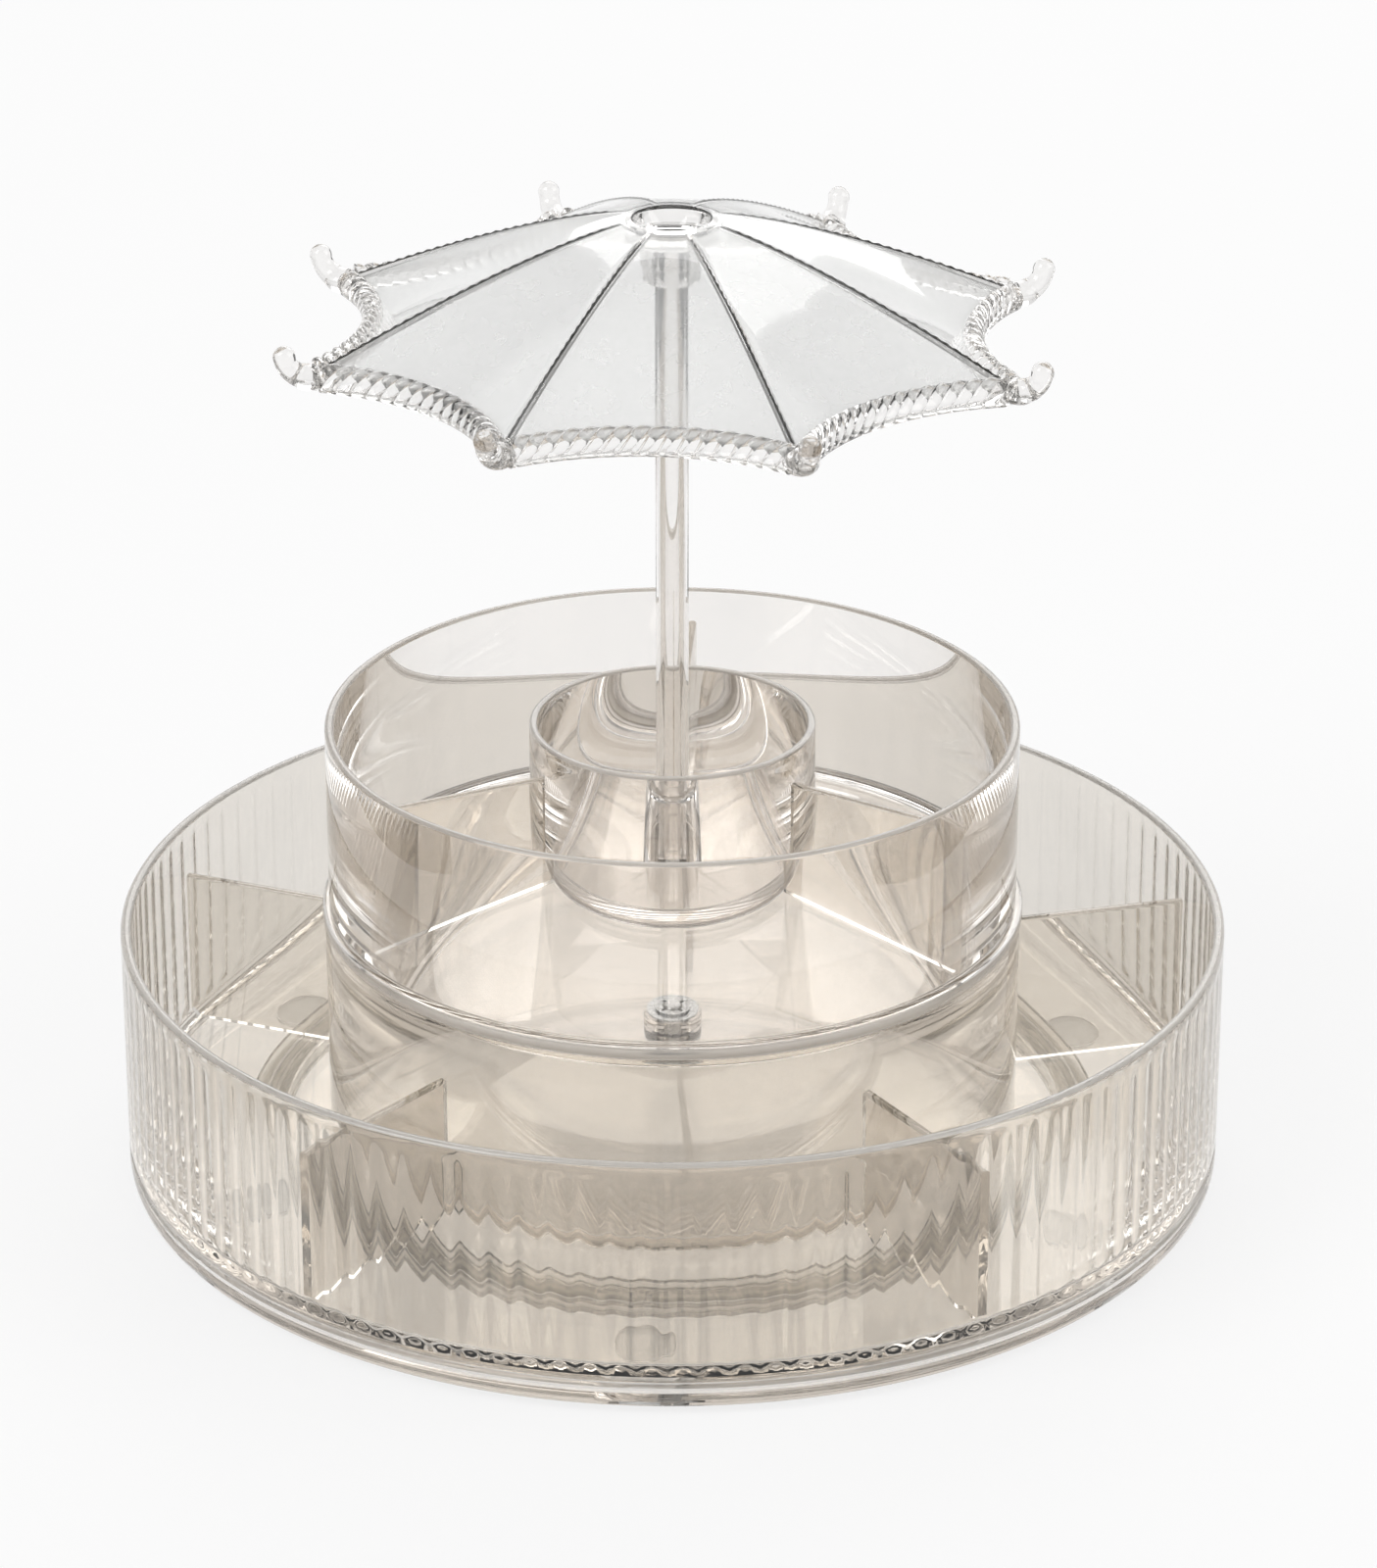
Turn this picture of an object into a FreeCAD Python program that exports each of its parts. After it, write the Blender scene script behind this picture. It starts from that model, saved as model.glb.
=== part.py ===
"""Clear two-tier turntable organizer with a jewellery umbrella on a centre pole.

Millimetres, +Z up, origin on the resting plane under the turning axis, front towards -Y.
Each function makes one piece where it sits in the finished object.
"""
import FreeCAD, Part
import math
import os

V = FreeCAD.Vector
UP = V(0, 0, 1)

# ---------------------------------------------------------------- driving dimensions
# base and tray share one outer radius
OUTER_R = 150.0

# base
BASE_FLOOR = 3.0          # thickness of the base plate
BASE_EDGE_WALL = 4.5      # width of the raised edge
BASE_EDGE_RISE = 3.3      # height of the raised edge over the plate
BASE_EDGE_ROUND = 2.6     # rounding under the edge
BASE_RIM_ROUND = 0.8      # rounding on top of the edge
BASE_BOSS_R = 9.0         # centre boss that carries the pin
FOOT_COUNT = 6
FOOT_R = 8.0
FOOT_ROUND = 0.6
FOOT_INSET = 22.0         # from the base's edge in to the middle of a foot
FOOT_SHOW = 1.5           # how far a foot stands out below the base
FOOT_POCKET = 0.8         # depth of its pocket

# turntable bearing
BALL_R = 2.0
BALL_COUNT = 12
BALL_RING_R = 112.0
RACE_WIDTH = 10.0
RACE_SEAT = 0.5           # depth of the recess a race sits in
RACE_GAP = 2.4            # height between the two races
RACE_BEVEL = 0.4
CAGE_WIDTH = 7.0
CAGE_THICK = 1.4
BEARING_HEIGHT = 5.2      # base plate to tray floor

# pivot
PIN_R = 3.0
PIN_HEAD_R = 6.0
PIN_HEAD_THICK = 1.1
PIN_BEVEL = 0.5
HUB_R = 9.0
HUB_RISE = 5.0
HUB_BEVEL = 0.8
WASHER_R = 8.0
WASHER_THICK = 0.8
CLIP_R = 5.5
CLIP_THICK = 1.0
CLIP_SLOT_WIDE = 1.0
CLIP_SLOT_DEEP = 1.4      # from the pin out into the clip
PIN_TIP = 0.8             # pin shown above the clip

# lower tray
TRAY_FLOOR = 3.0
TRAY_WALL = 3.0
TRAY_DEPTH = 59.0         # floor to rim
TRAY_SKIRT = 1.3          # skirt below the floor
TRAY_BOTTOM_ROUND = 2.4
TRAY_RIM_ROUND = 1.0
TRAY_FLOOR_ROUND = 1.5    # inside, floor to wall
FLUTE_COUNT = 120
FLUTE_DEPTH = 0.55
FLUTE_TOP_LIP = 3.0       # plain lip over the flutes
FLUTE_BOTTOM_BAND = 3.4   # plain band under the flutes
LOWER_DIVIDER_COUNT = 5
LOWER_DIVIDER_TALL = 44.0
LOWER_DIVIDER_THICK = 2.6
FIRST_DIVIDER = 90.0      # direction of the first divider of each tier, at the back
DIVIDER_ROUND = 0.9       # along the top edge of every divider
CORNER_SPARE = 0.5        # divider's corner cut over the rounding it clears

# drum
DRUM_R = 94.5
DRUM_WALL = 2.5
DRUM_TALL = 60.3
DRUM_BEVEL = 0.6
DRUM_RING_RISE = 3.0      # ring on the tray floor that centres the drum
RING_WALL = 2.2

# upper tray
UPPER_FOOT_OVER = 0.7     # foot lip beyond the drum's outside
UPPER_SETBACK = 1.1       # wall in from the drum's outside
UPPER_FLOOR = 3.0
UPPER_WALL = 2.5
UPPER_DEPTH = 52.0
UPPER_RIM_ROUND = 0.8
UPPER_FLOOR_ROUND = 1.2   # inside, floor to wall
UPPER_SPIGOT = 4.0        # ring that drops into the drum
SPIGOT_BEVEL = 0.8
UPPER_DIVIDER_COUNT = 3
UPPER_DIVIDER_TALL = 42.5
UPPER_DIVIDER_THICK = 2.4

# centre cup and pole socket
CUP_R = 38.5
CUP_WALL = 2.2
CUP_FLOOR = 2.0
CUP_FOOT = 1.5            # hollow under the cup's floor
CUP_TALL = 51.5
CUP_RIM_ROUND = 0.7
CUP_FLOOR_ROUND = 1.5
CUP_RING_RISE = 1.2
SOCKET_R = 8.5
SOCKET_TALL = 18.0
SOCKET_FLOOR = 2.0
SOCKET_ROUND = 1.5
SOCKET_LEAD_IN = 1.0      # funnel at the socket's mouth

# umbrella
POLE_R = 4.4
POLE_BORE_R = 2.3
POLE_PLUG = 2.0           # closed foot of the tube
POLE_BEVEL = 0.5
COLLAR_TOP_R = 8.4
COLLAR_LOW_R = 7.7
COLLAR_TALL = 11.0
COLLAR_LOW_TALL = 4.6
COLLAR_ROOF = 1.6
COLLAR_ROUND = 0.9
RIB_COUNT = 8
RIM_Z = 237.4             # height of the rope's centre line
RIM_R = 98.4              # radius of the rib tips
CROWN_RISE = 31.8         # crown over the rope's centre line
CROWN_R = 12.0            # radius of the raised crown ring
CANOPY_FULLNESS = 1.3     # how round the ribs bow, 1 is a straight cone
PANEL_HOLLOW = 12.2       # how far a panel's edge curves in from a straight line
SHELL_THICK = 2.0
CANOPY_SECTIONS = 7       # levels the shell is lofted through
RIB_POINTS = 12           # points each raised rib line is drawn through
BOSS_SINK = 0.5           # crown boss stops this far under the crown
DISH_DEPTH = 4.4          # hollow in the middle of the crown
DISH_TOP_R = 10.4
DISH_LOW_R = 6.6
RIB_WIDTH = 1.6
RIB_PROUD = 0.7
ROPE_HALF_WIDE = 3.0
ROPE_HALF_TALL = 4.1
KNOB_R = 4.5              # round pad where two ropes meet at a rib tip
KNOB_THICK = 6.0
KNOB_BEVEL = 1.6
HOOK_WIRE_R = 2.5
HOOK_TIP_R = 2.8
HOOK_BEND_R = 5.4
HOOK_REACH = 0.6          # straight run from the pad's centre to the bend
HOOK_TURN = 75.0          # degrees the hook turns up
HOOK_TIP_RUN = 2.2

# clearances
PIN_PLAY = 0.06           # pin in the base, washer and clip
TURN_PLAY = 0.08          # pin in the tray hub, pole in the collar
SOCKET_PLAY = 0.08        # pole in its socket
BALL_PLAY = 0.3           # ball to groove
POCKET_PLAY = 0.2         # ball to cage
RACE_PLAY = 0.2           # race to its recess
RUN_GAP = 0.3             # hub to boss, hub to washer
LOCATE_GAP = 0.5          # ring to the wall it centres
JOINT_GAP = 0.15          # divider end to wall
SEAM_GAP = 0.05           # rope to shell, rope and shell to knob
PAST = 1.0                # how far a cutting tool runs past the face it cuts
SAME = 1e-4               # sizes closer than this are one size

# ---------------------------------------------------------------- sizes that follow
BASE_UNDER = FOOT_SHOW
BASE_TOP = BASE_UNDER + BASE_FLOOR
TRAY_UNDER = BASE_TOP + BEARING_HEIGHT
TRAY_TOP = TRAY_UNDER + TRAY_FLOOR
TRAY_RIM = TRAY_TOP + TRAY_DEPTH
DRUM_TOP = TRAY_TOP + DRUM_TALL
UPPER_FOOT_R = DRUM_R + UPPER_FOOT_OVER
UPPER_R = DRUM_R - UPPER_SETBACK
UPPER_TOP = DRUM_TOP + UPPER_FLOOR
UPPER_RIM = UPPER_TOP + UPPER_DEPTH
BALL_Z = 0.5 * (BASE_TOP + TRAY_UNDER)
CUP_TOP = UPPER_TOP + CUP_TALL
CUP_FLOOR_TOP = UPPER_TOP + CUP_FOOT + CUP_FLOOR
HUB_TOP = TRAY_TOP + HUB_RISE
WASHER_Z = HUB_TOP + RUN_GAP
CLIP_Z = WASHER_Z + WASHER_THICK
POLE_FOOT = CUP_FLOOR_TOP + SOCKET_FLOOR
CROWN_Z = RIM_Z + CROWN_RISE
BOSS_UNDER = CROWN_Z - DISH_DEPTH - SHELL_THICK
COLLAR_FOOT = BOSS_UNDER - COLLAR_TALL
POLE_TOP = BOSS_UNDER - COLLAR_ROOF
HALF_PANEL = math.pi / RIB_COUNT


# ---------------------------------------------------------------- helpers
def revolve(points):
    """Solid of revolution about the turning axis from (radius, height) corners."""
    corners = [V(r, 0, z) for r, z in points]
    outline = Part.makePolygon(corners + corners[:1])
    return Part.Face(outline).revolve(V(0, 0, 0), UP, 360)


def disc(radius, low, high):
    return Part.makeCylinder(radius, high - low, V(0, 0, low))


def ring(outer, inner, low, high):
    return disc(outer, low, high).cut(disc(inner, low - PAST, high + PAST))


def around(shape, angle):
    """A copy turned about the turning axis, in degrees."""
    turned = shape.copy()
    turned.rotate(V(0, 0, 0), UP, angle)
    return turned


def round_edges(solid, size, keep):
    """Fillet the circular edges whose (radius, height) pass the test."""
    return solid.makeFillet(size, circles(solid, keep))


def bevel_edges(solid, size, keep):
    """Chamfer the circular edges whose (radius, height) pass the test."""
    return solid.makeChamfer(size, circles(solid, keep))


def circles(solid, keep):
    rings = [e for e in solid.Edges if isinstance(e.Curve, Part.Circle)]
    return [e for e in rings if keep(e.Curve.Radius, e.Curve.Center.z)]


def near(a, b):
    return abs(a - b) < SAME


def polar(radius, angle, z=0.0):
    return V(radius * math.cos(angle), radius * math.sin(angle), z)


# ---------------------------------------------------------------- base
def base_plate():
    edge_top = BASE_TOP + BASE_EDGE_RISE
    inner = OUTER_R - BASE_EDGE_WALL
    body = revolve([(0, BASE_UNDER), (OUTER_R, BASE_UNDER), (OUTER_R, edge_top), (inner, edge_top),
                    (inner, BASE_TOP), (0, BASE_TOP)])
    body = round_edges(body, BASE_EDGE_ROUND, lambda r, z: near(r, OUTER_R) and near(z, BASE_UNDER))
    body = round_edges(body, BASE_RIM_ROUND, lambda r, z: near(r, OUTER_R) and near(z, edge_top))
    body = body.fuse(disc(BASE_BOSS_R, BASE_UNDER, TRAY_UNDER - RUN_GAP))
    half = RACE_WIDTH / 2 + RACE_PLAY
    body = body.cut(ring(BALL_RING_R + half, BALL_RING_R - half, BASE_TOP - RACE_SEAT, BASE_TOP + PAST))
    body = body.cut(disc(PIN_R + PIN_PLAY, 0, TRAY_UNDER))
    body = body.cut(disc(PIN_HEAD_R + PIN_PLAY, 0, BASE_UNDER + PIN_HEAD_THICK))
    for spot in foot_spots():
        body = body.cut(Part.makeCylinder(FOOT_R, FOOT_POCKET, V(spot.x, spot.y, BASE_UNDER)))
    return body


def foot_spots():
    step = 2 * math.pi / FOOT_COUNT
    return [polar(OUTER_R - FOOT_INSET, step * (i + 0.5)) for i in range(FOOT_COUNT)]


def foot(spot):
    tall = FOOT_SHOW + FOOT_POCKET
    pad = Part.makeCylinder(FOOT_R - JOINT_GAP, tall, V(spot.x, spot.y, 0))
    return bevel_edges(pad, FOOT_ROUND, lambda r, z: near(z, 0))


def race(low, groove_above):
    """Ball race. The groove opens upward in the lower race and downward in the upper one."""
    tall = (BEARING_HEIGHT - RACE_GAP) / 2 + RACE_SEAT
    half = RACE_WIDTH / 2
    body = ring(BALL_RING_R + half, BALL_RING_R - half, low, low + tall)
    lip = low + tall if groove_above else low
    body = bevel_edges(body, RACE_BEVEL, lambda r, z: near(z, lip))
    groove = Part.makeTorus(BALL_RING_R, BALL_R + BALL_PLAY, V(0, 0, BALL_Z))
    return body.cut(groove)


def ball_spots():
    step = 2 * math.pi / BALL_COUNT
    return [polar(BALL_RING_R, step * i, BALL_Z) for i in range(BALL_COUNT)]


def ball_cage():
    half = CAGE_WIDTH / 2
    low = BALL_Z - CAGE_THICK / 2
    body = ring(BALL_RING_R + half, BALL_RING_R - half, low, low + CAGE_THICK)
    for spot in ball_spots():
        at = V(spot.x, spot.y, low - PAST)
        body = body.cut(Part.makeCylinder(BALL_R + POCKET_PLAY, CAGE_THICK + 2 * PAST, at))
    return body


def bearing_balls():
    return Part.makeCompound([Part.makeSphere(BALL_R, spot) for spot in ball_spots()])


def pivot_pin():
    tip = CLIP_Z + CLIP_THICK + PIN_TIP
    head_top = BASE_UNDER + PIN_HEAD_THICK
    return revolve([(0, BASE_UNDER), (PIN_HEAD_R - PIN_BEVEL, BASE_UNDER),
                    (PIN_HEAD_R, BASE_UNDER + PIN_BEVEL), (PIN_HEAD_R, head_top), (PIN_R, head_top),
                    (PIN_R, tip - PIN_BEVEL), (PIN_R - PIN_BEVEL, tip), (0, tip)])


def pivot_washer():
    return ring(WASHER_R, PIN_R + PIN_PLAY, WASHER_Z, WASHER_Z + WASHER_THICK)


def pivot_clip():
    """Push-on clip: a disc whose middle is cut into four gripping tabs."""
    body = ring(CLIP_R, PIN_R + PIN_PLAY, CLIP_Z, CLIP_Z + CLIP_THICK)
    far = PIN_R + CLIP_SLOT_DEEP
    corner = V(-far, -CLIP_SLOT_WIDE / 2, CLIP_Z - PAST)
    slot = Part.makeBox(2 * far, CLIP_SLOT_WIDE, CLIP_THICK + 2 * PAST, corner)
    for angle in (45, 135):
        body = body.cut(around(slot, angle))
    return body


# ---------------------------------------------------------------- lower tray
def flute_band(low, high):
    """Solid disc whose edge is a row of shallow hollow flutes."""
    step = 2 * math.pi / FLUTE_COUNT
    arcs = []
    for i in range(FLUTE_COUNT):
        start = polar(OUTER_R, step * (i - 0.5), low)
        middle = polar(OUTER_R - FLUTE_DEPTH, step * i, low)
        end = polar(OUTER_R, step * (i + 0.5), low)
        arcs.append(Part.Arc(start, middle, end).toShape())
    return Part.Face(Part.Wire(arcs)).extrude(V(0, 0, high - low))


def lower_tray():
    inner = OUTER_R - TRAY_WALL
    bottom = TRAY_UNDER - TRAY_SKIRT
    skirt_inner = OUTER_R - BASE_EDGE_WALL
    flute_low = TRAY_UNDER + FLUTE_BOTTOM_BAND
    flute_high = TRAY_RIM - FLUTE_TOP_LIP
    foot_band = disc(OUTER_R, bottom, flute_low)
    foot_band = round_edges(foot_band, TRAY_BOTTOM_ROUND, lambda r, z: near(z, bottom))
    lip = disc(OUTER_R, flute_high, TRAY_RIM)
    lip = round_edges(lip, TRAY_RIM_ROUND, lambda r, z: near(z, TRAY_RIM))
    body = foot_band.fuse([flute_band(flute_low, flute_high), lip])
    hollow = disc(inner, TRAY_TOP, TRAY_RIM + PAST)
    hollow = round_edges(hollow, TRAY_FLOOR_ROUND, lambda r, z: near(z, TRAY_TOP))
    body = body.cut([hollow, disc(skirt_inner, bottom - PAST, TRAY_UNDER)])
    body = round_edges(body, TRAY_RIM_ROUND, lambda r, z: near(r, inner) and near(z, TRAY_RIM))
    drum_ring_r = DRUM_R - DRUM_WALL - LOCATE_GAP
    centring = ring(drum_ring_r, drum_ring_r - RING_WALL, TRAY_UNDER, TRAY_TOP + DRUM_RING_RISE)
    hub = disc(HUB_R, TRAY_UNDER, HUB_TOP)
    body = body.fuse([centring, bevel_edges(hub, HUB_BEVEL, lambda r, z: near(z, HUB_TOP))])
    half = RACE_WIDTH / 2 + RACE_PLAY
    seat = ring(BALL_RING_R + half, BALL_RING_R - half, TRAY_UNDER - PAST, TRAY_UNDER + RACE_SEAT)
    return body.cut([seat, disc(PIN_R + TURN_PLAY, 0, HUB_TOP + PAST)])


def support_drum():
    body = ring(DRUM_R, DRUM_R - DRUM_WALL, TRAY_TOP, DRUM_TOP)
    return bevel_edges(body, DRUM_BEVEL, lambda r, z: near(z, DRUM_TOP))


def divider(inner, outer, low, tall, thick, corner):
    """Upright plate along +X from one round wall to the next, with its ends curved to both.

    The corner cut clears the rounding between floor and outer wall.
    """
    high = low + tall
    plate = Part.makeBox(outer, thick, tall, V(0, -thick / 2, low))
    long_edges = [e for e in plate.Edges if near(e.BoundBox.ZMin, high) and e.Length > outer - PAST]
    plate = plate.makeFillet(DIVIDER_ROUND, long_edges)
    plate = plate.common(ring(outer - JOINT_GAP, inner + JOINT_GAP, low, high))
    wedge = revolve([(outer - corner, low - PAST), (outer + PAST, low - PAST), (outer + PAST, low + corner),
                     (outer - JOINT_GAP, low + corner), (outer - corner, low)])
    return plate.cut(wedge)


def lower_divider(index):
    corner = TRAY_FLOOR_ROUND + CORNER_SPARE
    plate = divider(DRUM_R, OUTER_R - TRAY_WALL, TRAY_TOP, LOWER_DIVIDER_TALL, LOWER_DIVIDER_THICK, corner)
    return around(plate, FIRST_DIVIDER + index * 360.0 / LOWER_DIVIDER_COUNT)


# ---------------------------------------------------------------- upper tier
def upper_tray():
    inner = UPPER_R - UPPER_WALL
    wall = disc(UPPER_R, DRUM_TOP, UPPER_RIM)
    wall = round_edges(wall, UPPER_RIM_ROUND, lambda r, z: near(z, UPPER_RIM))
    foot_lip = disc(UPPER_FOOT_R, DRUM_TOP, UPPER_TOP)
    foot_lip = round_edges(foot_lip, UPPER_RIM_ROUND, lambda r, z: near(r, UPPER_FOOT_R))
    hollow = disc(inner, UPPER_TOP, UPPER_RIM + PAST)
    hollow = round_edges(hollow, UPPER_FLOOR_ROUND, lambda r, z: near(z, UPPER_TOP))
    body = wall.fuse(foot_lip).cut(hollow)
    body = round_edges(body, UPPER_RIM_ROUND, lambda r, z: near(r, inner) and near(z, UPPER_RIM))
    spigot_r = DRUM_R - DRUM_WALL - LOCATE_GAP
    spigot = ring(spigot_r, spigot_r - RING_WALL, DRUM_TOP - UPPER_SPIGOT, UPPER_TOP)
    spigot = bevel_edges(spigot, SPIGOT_BEVEL, lambda r, z: near(r, spigot_r) and z < DRUM_TOP)
    cup_ring_r = CUP_R - CUP_WALL - LOCATE_GAP
    cup_ring = ring(cup_ring_r, cup_ring_r - RING_WALL, DRUM_TOP, UPPER_TOP + CUP_RING_RISE)
    return body.fuse([spigot, cup_ring])


def upper_divider(index):
    corner = UPPER_FLOOR_ROUND + CORNER_SPARE
    plate = divider(CUP_R, UPPER_R - UPPER_WALL, UPPER_TOP, UPPER_DIVIDER_TALL, UPPER_DIVIDER_THICK, corner)
    return around(plate, FIRST_DIVIDER + index * 360.0 / UPPER_DIVIDER_COUNT)


def centre_cup():
    inner = CUP_R - CUP_WALL
    body = disc(CUP_R, UPPER_TOP, CUP_TOP)
    body = round_edges(body, CUP_RIM_ROUND, lambda r, z: near(z, CUP_TOP))
    hollow = disc(inner, CUP_FLOOR_TOP, CUP_TOP + PAST)
    hollow = round_edges(hollow, CUP_FLOOR_ROUND, lambda r, z: near(z, CUP_FLOOR_TOP))
    body = body.cut([hollow, disc(inner, UPPER_TOP - PAST, UPPER_TOP + CUP_FOOT)])
    return round_edges(body, CUP_RIM_ROUND, lambda r, z: near(r, inner) and near(z, CUP_TOP))


def pole_socket():
    top = CUP_FLOOR_TOP + SOCKET_TALL
    bore_r = POLE_R + SOCKET_PLAY
    body = disc(SOCKET_R, CUP_FLOOR_TOP, top)
    body = round_edges(body, SOCKET_ROUND, lambda r, z: near(z, top))
    bore = disc(bore_r, POLE_FOOT, top + PAST)
    lead_in = Part.makeCone(bore_r, bore_r + SOCKET_LEAD_IN, SOCKET_LEAD_IN, V(0, 0, top - SOCKET_LEAD_IN))
    return body.cut([bore, lead_in])


# ---------------------------------------------------------------- umbrella
def umbrella_pole():
    body = disc(POLE_R, POLE_FOOT, POLE_TOP).cut(disc(POLE_BORE_R, POLE_FOOT + POLE_PLUG, POLE_TOP + PAST))
    return bevel_edges(body, POLE_BEVEL, lambda r, z: near(r, POLE_R))


def canopy_hub():
    """Collar under the crown. Its blind bore takes the end of the pole."""
    waist = COLLAR_FOOT + COLLAR_LOW_TALL
    body = revolve([(0, COLLAR_FOOT), (COLLAR_LOW_R, COLLAR_FOOT), (COLLAR_LOW_R, waist),
                    (COLLAR_TOP_R, waist), (COLLAR_TOP_R, BOSS_UNDER), (0, BOSS_UNDER)])
    body = round_edges(body, COLLAR_ROUND, lambda r, z: near(z, COLLAR_FOOT))
    return body.cut(disc(POLE_R + TURN_PLAY, COLLAR_FOOT - PAST, POLE_TOP))


def rib_angle(index):
    """Direction of a rib tip in radians. The front panel lies between ribs 0 and 1."""
    return -math.pi / 2 + HALF_PANEL * (2 * index - 1)


def spread(share):
    """Radius of the rib at this share of the way from crown ring to tip."""
    return CROWN_R + share * (RIM_R - CROWN_R)


def rib_height(share):
    return CROWN_Z - CROWN_RISE * share ** CANOPY_FULLNESS


def panel_hollow(share):
    """How far a panel curves in: a full circle at the crown ring, hollow at the tips."""
    circle = -CROWN_R * (1 - math.cos(HALF_PANEL))
    return circle + (PANEL_HOLLOW - circle) * share ** 2


def panel_edge(index, share, z):
    """Arc from rib to rib at one height of the canopy."""
    radius = spread(share)
    middle_r = radius * math.cos(HALF_PANEL) - panel_hollow(share)
    start = polar(radius, rib_angle(index), z)
    middle = polar(middle_r, rib_angle(index) + HALF_PANEL, z)
    end = polar(radius, rib_angle(index + 1), z)
    return Part.Arc(start, middle, end).toShape()


def canopy_form(drop):
    """Solid under the canopy's outer face, lowered by drop."""
    sections = []
    for i in range(CANOPY_SECTIONS):
        share = 1 - i / (CANOPY_SECTIONS - 1)
        z = rib_height(share) - drop
        sections.append(Part.Wire([panel_edge(k, share, z) for k in range(RIB_COUNT)]))
    return Part.makeLoft(sections, True, False)


def canopy_rib(index):
    """Raised line down the outer face, along one rib."""
    shares = [i / RIB_POINTS for i in range(RIB_POINTS + 1)]
    over = [V(spread(s), 0, rib_height(s) + RIB_PROUD) for s in shares]
    under = [V(spread(s), 0, rib_height(s) - SHELL_THICK / 2) for s in reversed(shares)]
    top_line = Part.BSplineCurve()
    top_line.interpolate(over)
    low_line = Part.BSplineCurve()
    low_line.interpolate(under)
    edges = [top_line.toShape(), Part.makeLine(over[-1], under[0]), low_line.toShape(),
             Part.makeLine(under[-1], over[0])]
    fin = Part.Face(Part.Wire(edges)).extrude(V(0, RIB_WIDTH, 0))
    fin.translate(V(0, -RIB_WIDTH / 2, 0))
    return around(fin, math.degrees(rib_angle(index)))


def knob_room(index):
    """Upright plug that clears room for the round pad at a rib tip."""
    foot = polar(RIM_R, rib_angle(index), RIM_Z - CROWN_RISE)
    return Part.makeCylinder(KNOB_R + SEAM_GAP, 2 * CROWN_RISE, foot)


def rope_tube(index, grow):
    """Oval bar along one panel's edge, an ellipse turned about the middle of the edge's arc."""
    edge = panel_edge(index, 1.0, RIM_Z)
    start = edge.valueAt(edge.FirstParameter)
    across = edge.tangentAt(edge.FirstParameter).cross(UP)
    top = start + UP * (ROPE_HALF_TALL + grow)
    side = start + across * (ROPE_HALF_WIDE + grow)
    oval = Part.Face(Part.Wire([Part.Ellipse(top, side, start).toShape()]))
    sweep = math.degrees(edge.LastParameter - edge.FirstParameter)
    return oval.revolve(edge.Curve.Center, edge.Curve.Axis, sweep)


def panel_sector(index):
    """Upright wedge from the turning axis that holds one panel."""
    reach = RIM_R + 2 * KNOB_R
    first, last = rib_angle(index), rib_angle(index + 1)
    middle = first + HALF_PANEL
    corners = [V(0, 0, 0), polar(reach, first), polar(reach, middle), polar(reach, last)]
    wedge = Part.Face(Part.makePolygon(corners + corners[:1])).extrude(V(0, 0, CROWN_Z))
    wedge.translate(polar(SEAM_GAP, middle))
    return wedge


def rope_rim(index):
    """Rope-moulded edge of one panel, mitred to its neighbours and cut to the knobs."""
    body = rope_tube(index, 0).common(panel_sector(index))
    return body.cut([knob_room(index), knob_room(index + 1)])


def canopy():
    """Eight-panel shell with scalloped edges, raised ribs and a dished crown boss."""
    shell = canopy_form(0).cut(canopy_form(SHELL_THICK))
    boss = disc(CROWN_R, BOSS_UNDER, CROWN_Z - BOSS_SINK)
    shell = shell.fuse([boss] + [canopy_rib(k) for k in range(RIB_COUNT)])
    dish = Part.makeCone(DISH_LOW_R, DISH_TOP_R, DISH_DEPTH, V(0, 0, CROWN_Z - DISH_DEPTH))
    room = [dish] + [rope_tube(k, SEAM_GAP) for k in range(RIB_COUNT)]
    return largest(shell.cut(room + [knob_room(k) for k in range(RIB_COUNT)]))


def largest(shape):
    return max(shape.Solids, key=lambda solid: solid.Volume)


def hook(index):
    """Round pad at the rib tip with a hook that reaches out and turns up."""
    turn = math.radians(HOOK_TURN)
    start = V(RIM_R + HOOK_REACH, 0, RIM_Z)
    pivot = start + UP * HOOK_BEND_R
    bend_end = pivot + V(math.sin(turn), 0, -math.cos(turn)) * HOOK_BEND_R
    along = V(math.cos(turn), 0, math.sin(turn))
    section = Part.Face(Part.Wire([Part.Circle(start, V(1, 0, 0), HOOK_WIRE_R).toShape()]))
    bend = section.revolve(pivot, V(0, -1, 0), HOOK_TURN)
    tip = Part.makeCylinder(HOOK_WIRE_R, HOOK_TIP_RUN, bend_end, along)
    ball = Part.makeSphere(HOOK_TIP_R, bend_end + along * HOOK_TIP_RUN)
    pad = Part.makeCylinder(KNOB_R, KNOB_THICK, V(RIM_R, 0, RIM_Z - KNOB_THICK / 2))
    pad = bevel_edges(pad, KNOB_BEVEL, lambda r, z: True)
    return around(pad.fuse([bend, tip, ball]), math.degrees(rib_angle(index)))


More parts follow.
